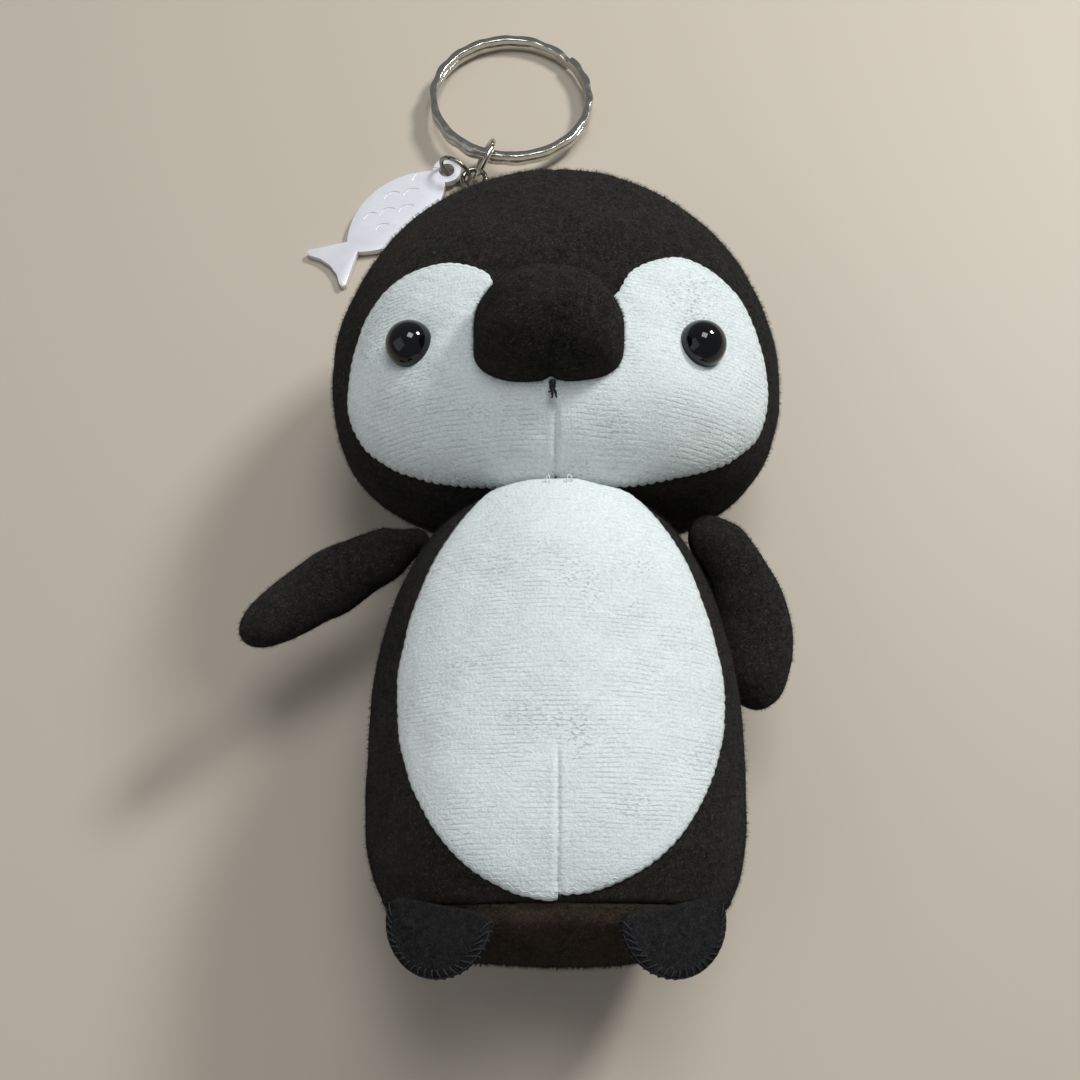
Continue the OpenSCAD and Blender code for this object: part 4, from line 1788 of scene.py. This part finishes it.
@dataclass
class Flipper:
    """A stuffed flipper, pinched where it is sewn to the body."""

    side: Side
    shoulder: tuple[float, float, float]
    direction: float
    roll: float
    bow: float  # turn of its line in degrees for each millimetre
    inward: tuple[float, float]  # how far it is set in towards the body
    length: float = 20.0
    root_r: float = 4.3
    half_w: float = 5.3
    half_t: float = 4.7
    root_len: float = 7.0
    bow_from: float = 8.0
    taper: float = 0.12  # how much narrower it grows towards its tip
    seam_axis: int = 2  # the seam lies where this coordinate of the flipper's own is 0
    bend: tuple[float, float] = (-3.0, 3.5)  # where it bends, from its shoulder

    def form(self, unit: Array, grow: float) -> Array:
        """Points of the flipper along X, for unit vectors.

        Args:
            unit: unit vectors, as rows.
            grow: how much larger the surface is.

        Returns:
            The points, as rows.
        """
        low, high = -self.root_len - grow, self.length + self.half_w + grow
        d = (low + high) / 2 + (high - low) / 2 * np.clip(unit[:, 0], -0.9999, 0.9999)
        body = self.root_r + (self.half_w - self.root_r) * np.sin(np.clip(d / self.length, 0, 1) * math.pi
                                                                  / 2)
        tip = np.sqrt(np.maximum(0, 1 - np.clip((d - self.length) / (self.half_w + grow), 0, 1) ** 2))
        root = (1 - np.clip(-d / (self.root_len + grow), 0, 1) ** 4) ** 0.5 * (1 - 0.18
                                                                               * smoothstep(-d, 0, 5))
        slim = 1 - self.taper * smoothstep(d, 7, self.length + self.half_w)
        w = (body * slim + grow) * tip * root
        flat = 1 - (1 - self.half_t / self.half_w) * np.clip((d + 2) / 8, 0, 1)
        flat = flat * (1 - 0.25 * smoothstep(-d, 0, 4))
        a = np.arctan2(unit[:, 2], unit[:, 1])
        belly = 0.35 * np.sin(math.pi * np.clip(d / (self.length + self.half_w), 0, 1))
        return np.column_stack([d, w * np.cos(a) - belly, w * flat * np.sin(a)])

    def placed(self, co: Array) -> Array:
        """Roll the flipper, bow it along its length and put it at its shoulder.

        Args:
            co: the points, as rows.

        Returns:
            The points in their place.
        """
        roll = math.radians(self.roll)
        y = co[:, 1] * math.cos(roll) - co[:, 2] * math.sin(roll)
        z = co[:, 1] * math.sin(roll) + co[:, 2] * math.cos(roll)
        per = math.radians(self.bow)
        angle = per * (co[:, 0] - self.bow_from)
        x = self.bow_from + np.sin(angle) / per - y * np.sin(angle)
        y = (1 - np.cos(angle)) / per + y * np.cos(angle)
        h = math.radians(self.direction)
        out = np.column_stack([x * math.cos(h) - y * math.sin(h), x * math.sin(h) + y * math.cos(h), z])
        return out + np.array(self.shoulder) + np.array((*self.inward, 0))

    def build(self) -> None:
        """Make and dress the flipper."""
        word = f"flipper_{self.side.word}"
        cover = ball_of(word + "_fleece", 26)
        unit = points(cover)
        local = self.form(unit, -0.45)
        move_points(cover, local)
        swell(cover, 0.45, np.exp(-((local[:, self.seam_axis] / 0.8) ** 2)) + smoothstep(-local[:, 0], 1, 3))
        finer(cover)
        co = points(cover)
        seam = groove(co[:, self.seam_axis], co[:, 0], 0.2, 0.4)
        push(cover, seam + lumps(co, 8, 0.16, 41 + self.side.value) + lumps(co, 3.5, 0.04, 44))
        move_points(cover, self.placed(points(cover)))
        pile = Pile(9.0, 0.5, 0.032, 1.3, 45 + self.side.value).grow(word + "_pile", Surface(cover))
        core = ball_of(word + "_filling", 18)
        core_at = self.form(points(core) * 0.999, -1.9)
        core_at[:, 0] = np.maximum(core_at[:, 0], -2.5)
        move_points(core, core_at)
        push(core, lumps(core_at, 4, 0.25, 48))
        move_points(core, self.placed(points(core)))
        for obj, finish, nodes in ((cover, FLEECE, (word + "_cover",)), (pile, FLEECE, ()),
                                   (core, FILLING, (word + "_stuffing",))):
            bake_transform(dressed(obj, finish, *nodes))
        LOG.info("%s: cover and stuffing", word)


@dataclass
class Foot:
    """A flap of two felt layers, edged with blanket stitch."""

    side: Side
    x: float = 13.6
    y: float = 5.5
    z: float = 43.4
    face: float = 22.0
    splay: float = 11.0
    half_w: float = 7.0
    length: float = 7.4
    thickness: float = 1.6
    pitch: float = 1.05

    def rim(self, inset: float = 0.0, step: float = 0.25) -> Array:
        """The flap's free edge, from one end of its seam round to the other.

        Args:
            inset: how far inside the edge.
            step: distance between the points.

        Returns:
            The points, as rows.
        """
        r = self.half_w - inset
        a = np.linspace(0, -math.pi, round(math.pi * r / step))
        bend = np.column_stack([r * np.cos(a), -(self.length - self.half_w) + r * np.sin(a)])
        return np.vstack([[(r - 1.1, 0.9)], [(r - 0.25, 0.35)], bend, [(0.25 - r, 0.35)], [(1.1 - r, 0.9)]])

    def droop(self, co: Array) -> Array:
        """Bow the flap slightly, as worn felt does."""
        out = co.copy()
        out[:, 2] += 0.25 - 0.012 * co[:, 1] ** 2 - 0.006 * co[:, 0] ** 2
        return out

    def placed(self, co: Array) -> Array:
        """Put the flap at its seam."""
        m = np.array(shift(self.side.value * self.x, self.y, self.z) @ turn("Z", self.side.value * self.splay)
                     @ turn("Y", self.side.value * self.face))
        return self.droop(co) @ m[:3, :3].T + m[:3, 3]

    def layer(self, name: str, low: float, high: float) -> Obj:
        """One layer of felt with soft edges.

        Args:
            name: the layer's name.
            low: the height of its underside.
            high: the height of its top.

        Returns:
            The layer.
        """
        rim = self.rim()[::-1]
        xy, share, faces = disc(rim, (0, -2.2), 22)
        thick = (high - low) / 2
        edge = np.sqrt(np.clip(1 - smoothstep(share, 0.86, 1.0) ** 2 * 0.85, 0, 1))
        mid = np.column_stack([xy, np.full(len(xy), (low + high) / 2)])
        grain = lumps(mid, 1.3, 0.035, 51) + lumps(mid, 4, 0.06, 52)
        top = mid + np.column_stack([np.zeros((len(xy), 2)), thick * edge + grain])
        under = mid - np.column_stack([np.zeros((len(xy), 2)), thick * edge])
        n, count = len(rim), len(xy)
        side = [(count - n + j, 2 * count - n + j, 2 * count - n + (j + 1) % n, count - n + (j + 1) % n)
                for j in range(n)]
        all_faces = [*faces, *([v + count for v in f[::-1]] for f in faces), *side]
        return mesh_of(name, np.vstack([top, under]), all_faces)

    def stitches(self, name: str) -> Obj:
        """Blanket stitches over the rim, joined by a thread along it.

        Args:
            name: the piece's name.

        Returns:
            The stitches.
        """
        edge, inner = self.rim(-0.06, 0.05), self.rim(0.8, 0.05)
        run = run_along(edge)
        paths = []
        half = self.thickness / 2 + 0.07
        for number, at in enumerate(np.arange(1.4, run[-1] - 1.2, self.pitch)):
            slip = 0.1 * math.sin(number * 2.3)
            out = np.array([np.interp(at, run, edge[:, i]) for i in range(2)])
            share = (at + slip) / run[-1] * (len(inner) - 1)
            into = np.array([np.interp(share, range(len(inner)), inner[:, i]) for i in range(2)])
            flat = [(*into, 0.35), (*into, half), (*(0.35 * into + 0.65 * out), half), (*out, half * 0.55),
                    (*out, -half * 0.55), (*(0.35 * into + 0.65 * out), -half), (*into, -half),
                    (*into, -0.35)]
            paths.append(curve_through(flat, 0.16, closed=False))
        along = edge[::4]
        wave = 0.05 * np.sin(np.arange(len(along)) * 1.1)
        paths.append(np.column_stack([along, np.full(len(along), half * 0.5) + wave])[4:-4])
        obj = thread(name, [p + (0, 0, self.thickness / 2) for p in paths], 0.095, 6)
        move_points(obj, self.placed(points(obj)))
        return obj

    def build(self) -> None:
        """Make, dress and fasten the foot."""
        word = f"foot_{self.side.word}"
        middle_z = self.thickness / 2
        upper = self.layer(word + "_upper_felt", middle_z + 0.02, self.thickness - 0.1)
        lower = self.layer(word + "_lower_felt", 0.1, middle_z - 0.02)
        for obj in (upper, lower):
            move_points(obj, self.placed(points(obj)))
        pile = Pile(9.0, 0.28, 0.03, 1.6, 55 + self.side.value).grow(word + "_pile", Surface(upper))
        stitches = self.stitches(word + "_stitch")
        for obj, finish, nodes in ((upper, FELT, (word,)), (lower, FELT, (word,)), (pile, FELT, ()),
                                   (stitches, BLUE_THREAD, ())):
            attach(dressed(obj, finish, *nodes), word)
        LOG.info("%s: two layers of felt and their stitches", word)


@dataclass
class Hardware:
    """Split ring, jump ring, swivel, link ring, ribbon and fish tag."""

    split_at: tuple[float, float] = (-8.8, 161.8)
    split_r: float = 16.0
    split_wall: float = 1.4
    split_h: float = 2.8
    split_lean: float = -5.0
    jump_dir: float = 252.0
    jump_z: float = 4.45
    jump_lean: float = 24.0
    jump_r: float = 3.8
    jump_wire_r: float = 0.55
    swivel_dir: float = -42.0
    jump_hold: float = -10.0
    eye_r: float = 2.2
    eye_wire_r: float = 0.5
    bell_from: float = 2.9
    bell_len: float = 5.2
    bell_loop_r: float = 1.7
    link_dir: float = -52.0
    link_r: float = 3.2
    ribbon_w: float = 3.0
    ribbon_t: float = 0.45
    ribbon_r: float = 1.1
    ribbon_len: float = 13.0
    tag_ring_r: float = 3.2
    tag_wire_r: float = 0.4
    tag_ring_dir: float = 150.0
    tag_dir: float = 224.0
    tag_slope: float = 2.1
    tag_drop: float = 1.88
    tag_t: float = 1.3
    tag_hole_r: float = 1.5
    tag_nose_r: float = 2.7
    tag_cut_r: float = 0.17
    tag_arc: float = 110.0  # how far round each gill or scale arc goes

    @property
    def jump_out(self) -> float:
        """Distance from the split ring's centre to the jump ring's."""
        return self.split_r - self.split_wall / 2 + 1.15

    @property
    def jump_at(self) -> Vector:
        """The jump ring's centre."""
        return Vector((*self.split_at, self.jump_z)) + self.jump_out * heading(self.jump_dir)

    @property
    def swivel_at(self) -> Vector:
        """The centre of the swivel pin's eye."""
        d, lean, hold = (math.radians(a) for a in (self.jump_dir, self.jump_lean, self.jump_hold))
        up = Vector((-math.sin(d) * math.sin(lean), math.cos(d) * math.sin(lean), math.cos(lean)))
        held = self.jump_at + self.jump_r * (math.cos(hold) * heading(self.jump_dir) + math.sin(hold) * up)
        return held - 0.7 * heading(58)

    @property
    def swivel(self) -> Matrix:
        """The swivel's place, with X along its axis."""
        return Matrix.Translation(self.swivel_at) @ turn("Z", self.swivel_dir)

    @property
    def bell_loop_x(self) -> float:
        """Distance along the swivel to the centre of the bell's loop."""
        return self.bell_from + self.bell_len + self.bell_loop_r

    @property
    def link(self) -> Matrix:
        """The link ring's place at its wire in the bell's loop, with X towards the ribbon."""
        at = self.swivel_at + (self.bell_loop_x + 0.5) * heading(self.swivel_dir)
        return Matrix.Translation(at) @ turn("Z", self.link_dir)

    @property
    def tag_ring_at(self) -> Vector:
        """The tag ring's centre."""
        held = self.swivel_at + heading(self.tag_ring_dir)
        z = self.tag_ring_r + self.tag_wire_r + 0.1
        reach = math.sqrt(self.tag_ring_r**2 - (z - held.z) ** 2)
        return Vector((held.x, held.y, z)) + reach * heading(self.tag_ring_dir)

    def fasten(self, obj: Obj, place: Matrix, finish: Finish, body: Body, *nodes: str) -> Obj:
        """Move a piece to its place, dress it and let it ride its body.

        Args:
            obj: the piece.
            place: where it goes, in millimetres.
            finish: what it is dressed in.
            body: what it rides on.
            nodes: the CAD nodes that it stands for.

        Returns:
            The piece.
        """
        obj.data.transform(place)
        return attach(dressed(obj, finish, *nodes), body.value)

    def strip(self) -> Obj:
        """The split ring: a flat strip coiled twice, pressed together and hammered in shallow waves."""
        deselect()
        bpy.ops.mesh.primitive_grid_add(x_subdivisions=560, y_subdivisions=1, size=2)
        obj = started("split_ring_strip")
        with editing(obj, "FACE"):
            bpy.ops.mesh.extrude_region_move(TRANSFORM_OT_translate={"value": (0, 0, 1)})
            face_out()
        co = points(obj)
        half = self.split_h / 2 - 0.06
        flat = np.column_stack([(co[:, 0] + 1) / 2, co[:, 1] * self.split_wall / 2, (co[:, 2] - 0.5) * half])
        move_points(obj, flat * (STRIP_LENGTH, 1, 1))
        rounded(obj, 0.26, 3, 60)
        co = points(obj)
        share = np.clip(co[:, 0] / STRIP_LENGTH, 0, 1)
        a = share * (4 * math.pi - 0.02) + math.radians(150)
        crossing = smoothstep(share, 0.44, 0.56) - 0.5
        wave = np.sin(18 * a + 0.8 * np.sin(3 * a)) * (1 + 0.3 * np.sin(2.3 * a))
        r = self.split_r - self.split_wall / 2 + co[:, 1] * (1 + 0.08 * wave) + 0.07 * wave
        z = co[:, 2] * (1 - 0.1 * np.abs(wave)) + crossing * (half + 0.03) + 0.05 * np.sin(18 * a + 1.2)
        move_points(obj, np.column_stack([r * np.cos(a), r * np.sin(a), z]))
        return obj

    def swivel_pieces(self) -> tuple[Obj, Obj]:
        """The swivel's eye with its pin, and its bell with its loop, with X along the axis."""
        eye = wire_ring("swivel_pin_eye", self.eye_r, self.eye_wire_r, 3, 2)
        pin = turned("swivel_pin_stem",
                     [(0.52, 2.1), (0.6, 2.2), (0.6, 4.5), (1.0, 4.5), (1.1, 4.6), (1.1, 5.2),
                                         (1.0, 5.3)], 32)
        pin.data.transform(turn("Y", 90))
        bell = turned("swivel_bell_cup",
                      [(2.1, 0), (2.25, 0.05), (2.3, 0.15), (2.3, 0.35), (2.2, 0.45), (1.95, 0.6),
                                          (1.92, 0.8), (2.02, 0.98), (2.1, 1.15), (2.1, 1.6), (2.05, 2.2),
                                          (1.92, 3.0),
                                          (1.75, 3.7), (1.5, 4.4), (1.2, 4.9), (0.9, 5.2), (0.4, 5.38)])
        bore = turned("swivel_bore", [(0.68, -1), (0.68, 1.5), (1.2, 1.5), (1.2, 2.5)], 32)
        boolean(bell, bore, "DIFFERENCE")
        bell.data.transform(shift(self.bell_from, 0, 0) @ turn("Y", 90))
        take(bell)
        bpy.ops.object.shade_smooth_by_angle(angle=math.radians(32))
        loop = wire_ring("swivel_bell_loop", self.bell_loop_r, self.eye_wire_r, 3, 182)
        loop.data.transform(shift(self.bell_loop_x, 0, 0))
        return joined([pin, eye], "swivel_pin_steel"), joined([bell, loop], "swivel_bell_steel")

    def tag(self) -> Obj:
        """The fish: round nose, pointed oval body, forked tail, gill and scales cut in."""
        deselect()
        bpy.ops.mesh.primitive_cylinder_add(vertices=128, radius=15.8, depth=self.tag_t,
                                            location=(13, -9.6, 0))
        fish = started("fish_tag_steel")
        bpy.ops.mesh.primitive_cylinder_add(vertices=128, radius=15.8, depth=2 * self.tag_t,
                                            location=(13, 9.6, 0))
        boolean(fish, started("fish_side"), "INTERSECT")
        bpy.ops.mesh.primitive_cylinder_add(vertices=64, radius=self.tag_nose_r, depth=self.tag_t * 0.999)
        boolean(fish, started("fish_nose"), "UNION")
        deselect()
        bpy.ops.mesh.primitive_circle_add(vertices=len(TAG_TAIL), radius=1, fill_type="NGON")
        fin = started("fish_tail")
        for vertex, (x, y) in zip(fin.data.vertices, TAG_TAIL):
            vertex.co = (x, y, -self.tag_t * 0.4995)
        with editing(fin, "FACE"):
            bpy.ops.mesh.extrude_region_move(TRANSFORM_OT_translate={"value": (0, 0, self.tag_t * 0.999)})
            face_out()
        boolean(fish, fin, "UNION")
        deselect()
        bpy.ops.mesh.primitive_cylinder_add(vertices=48, radius=self.tag_hole_r, depth=3)
        boolean(fish, started("fish_hole"), "DIFFERENCE")
        rounded(fish, 0.2, 3, 40)
        for number, (x, y, r) in enumerate(TAG_ARCS):
            arc = wire_ring(f"fish_cut_{number}", r, self.tag_cut_r, 360 - self.tag_arc, -self.tag_arc / 2)
            arc.data.transform(shift(x, y, self.tag_t / 2))
            boolean(fish, arc, "DIFFERENCE")
        take(fish)
        bpy.ops.object.shade_smooth_by_angle(angle=math.radians(35))
        return fish

    def ribbon(self) -> Obj:
        """The ribbon folded through the link ring, its two ends sewn in the head's seam."""
        r, t = self.ribbon_r + self.ribbon_t / 2, self.ribbon_t
        a = np.linspace(math.pi / 2, 3 * math.pi / 2, 24)
        fold = [(r * math.cos(s), r * math.sin(s)) for s in a]
        line = [(x, r - 0.5 * (x / 12)) for x in np.linspace(self.ribbon_len, 0.4, 30)] + fold
        line += [(x, -r + 0.5 * (x / 12)) for x in np.linspace(0.4, self.ribbon_len, 30)]
        line = np.array(line)
        ahead = np.gradient(line, axis=0)
        ahead /= np.linalg.norm(ahead, axis=1)[:, None]
        out = np.column_stack([ahead[:, 1], -ahead[:, 0]])
        across = np.linspace(-self.ribbon_w / 2, self.ribbon_w / 2, 9)
        crown = 0.06 * np.cos(across / self.ribbon_w * math.pi)
        verts = [(*(p + o * c), w) for p, o in zip(line, out) for w, c in zip(across, crown)]
        faces = [(i * 9 + j, i * 9 + j + 1, (i + 1) * 9 + j + 1, (i + 1) * 9 + j)
                 for i in range(len(line) - 1) for j in range(8)]
        obj = mesh_of("hanging_ribbon", np.array(verts), faces)
        thickened(obj, t * 0.9, 0.0)
        return obj

    def build(self) -> None:
        """Make, dress and fasten all of the hardware."""
        jump = Matrix.Translation(self.jump_at) @ turn("Z", self.jump_dir)
        self.fasten(self.strip(), jump @ turn("Y", self.split_lean) @ shift(-self.jump_out, 0, 0), NICKEL,
                    Body.SPLIT_RING, "split_ring")
        self.fasten(wire_ring("jump_ring_steel", self.jump_r, self.jump_wire_r, 4, 100),
                    jump @ turn("X", 90 - self.jump_lean), NICKEL, Body.JUMP_RING, "jump_ring")
        pin, bell = self.swivel_pieces()
        # The swivel pin gets the nickel that is painted darker as shade.
        self.fasten(pin, self.swivel, SHADED_NICKEL, Body.SWIVEL_PIN, "swivel_pin")
        self.fasten(bell, self.swivel, BRIGHT_NICKEL, Body.SWIVEL_BELL, "swivel_bell")
        self.fasten(wire_ring("link_ring_steel", self.link_r, 0.5, 4, 60),
                    self.link @ shift(self.link_r, 0, 0) @ turn("X", 90), NICKEL, Body.LINK_RING, "link_ring")
        self.fasten(self.ribbon(), self.link @ shift(2 * self.link_r - 0.2, 0, 0), RIBBON, Body.HEAD,
                    "hanging_loop")
        # The tag ring gets the nickel that is painted darker as shade.
        self.fasten(wire_ring("tag_ring_steel", self.tag_ring_r, self.tag_wire_r, 4, 70),
                    Matrix.Translation(self.tag_ring_at) @ turn("Z", self.tag_ring_dir) @ turn("X", 90),
                    SHADED_NICKEL,
                    Body.TAG_RING, "tag_ring")
        at = self.tag_ring_at + (self.tag_hole_r + self.tag_nose_r) / 2 * heading(self.tag_ring_dir)
        at.z -= self.tag_drop
        self.fasten(self.tag(), Matrix.Translation(at) @ turn("Z", self.tag_dir) @ turn("Y", self.tag_slope),
                    PEARL,
                    Body.FISH_TAG, "fish_tag")
        LOG.info("hardware: rings, swivel, ribbon and tag")


# ---- studio -------------------------------------------------------------------


@dataclass
class Studio:
    """Camera, soft lights and a plain pale floor."""

    eye_height: float = 0.195
    eye_y: float = -0.0367
    tilt: float = 20.4
    lens: float = 40.0
    aside: float = 16 / 1080  # how far the view is shifted, as a share of its width

    def camera(self) -> None:
        """The camera over the penguin's feet, looking towards its head."""
        data = bpy.data.cameras.new("camera")
        data.lens, data.sensor_width, data.shift_x = self.lens, 36, -self.aside
        data.clip_start = 0.01
        camera = bpy.data.objects.new("camera", data)
        camera.location = (0, self.eye_y, self.eye_height)
        camera.rotation_euler = (math.radians(self.tilt), 0, 0)
        bpy.context.scene.collection.objects.link(camera)
        bpy.context.scene.camera = camera

    def light(self, name: str, place: tuple[float, float, float], size: float, watts: float,
              colour: Colour) -> None:
        """A square area light that points at the penguin's middle.

        Args:
            name: its name.
            place: where it is, in metres.
            size: the length of its side.
            watts: its power.
            colour: its colour.
        """
        data = bpy.data.lights.new(name, "AREA")
        data.size, data.energy, data.color = size, watts, colour
        lamp = bpy.data.objects.new(name, data)
        lamp.location = place
        lamp.rotation_euler = (Vector((0, 0.03, 0.02)) - Vector(place)).to_track_quat("-Z", "Y").to_euler()
        bpy.context.scene.collection.objects.link(lamp)

    def floor(self) -> None:
        """A large plain floor."""
        deselect()
        bpy.ops.mesh.primitive_plane_add(size=6)
        floor = started("floor")
        material = bpy.data.materials.new("floor")
        material.use_nodes = True
        shader = material.node_tree.nodes["Principled BSDF"]
        shader.inputs["Base Color"].default_value = (0.55, 0.48, 0.39, 1)
        shader.inputs["Roughness"].default_value = 0.6
        floor.data.materials.append(material)

    def build(self) -> None:
        """Set everything up."""
        self.camera()
        self.light("key", (0.36, 0.36, 0.44), 0.12, 2.6, (0.98, 1.0, 1.0))
        self.light("fill", (-0.45, -0.15, 0.40), 0.5, 0.45, (0.95, 0.98, 1.0))
        self.light("top", (0.08, 0.24, 0.78), 0.3, 2.1, (0.97, 1.0, 1.0))
        self.floor()
        world = bpy.data.worlds.new("room")
        world.use_nodes = True
        world.node_tree.nodes["Background"].inputs[0].default_value = (0.9, 0.93, 1.0, 1)
        world.node_tree.nodes["Background"].inputs[1].default_value = 0.2
        bpy.context.scene.world = world
        bpy.context.scene.view_settings.view_transform = "Standard"


def main() -> None:
    """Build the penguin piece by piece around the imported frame."""
    logging.basicConfig(level=logging.INFO, format="%(message)s", stream=sys.stdout)
    Studio().build()
    Torso().build()
    Head().build()
    Beak().build()
    for side in Side:
        Eye(side).build()
        Foot(side).build()
    Flipper(Side.LEFT, (-25.6, 58.5, 25), 211, 75, 0.6, (0.2, 0.2), half_t=5.7, taper=0.3,
            seam_axis=1).build()
    Flipper(Side.RIGHT, (27, 58.5, 25), -74, -10, -2.6, (-0.5, 0.7), length=19.0, half_w=6.3,
            root_r=4.8).build()
    Hardware().build()


if __name__ == "__main__":
    main()
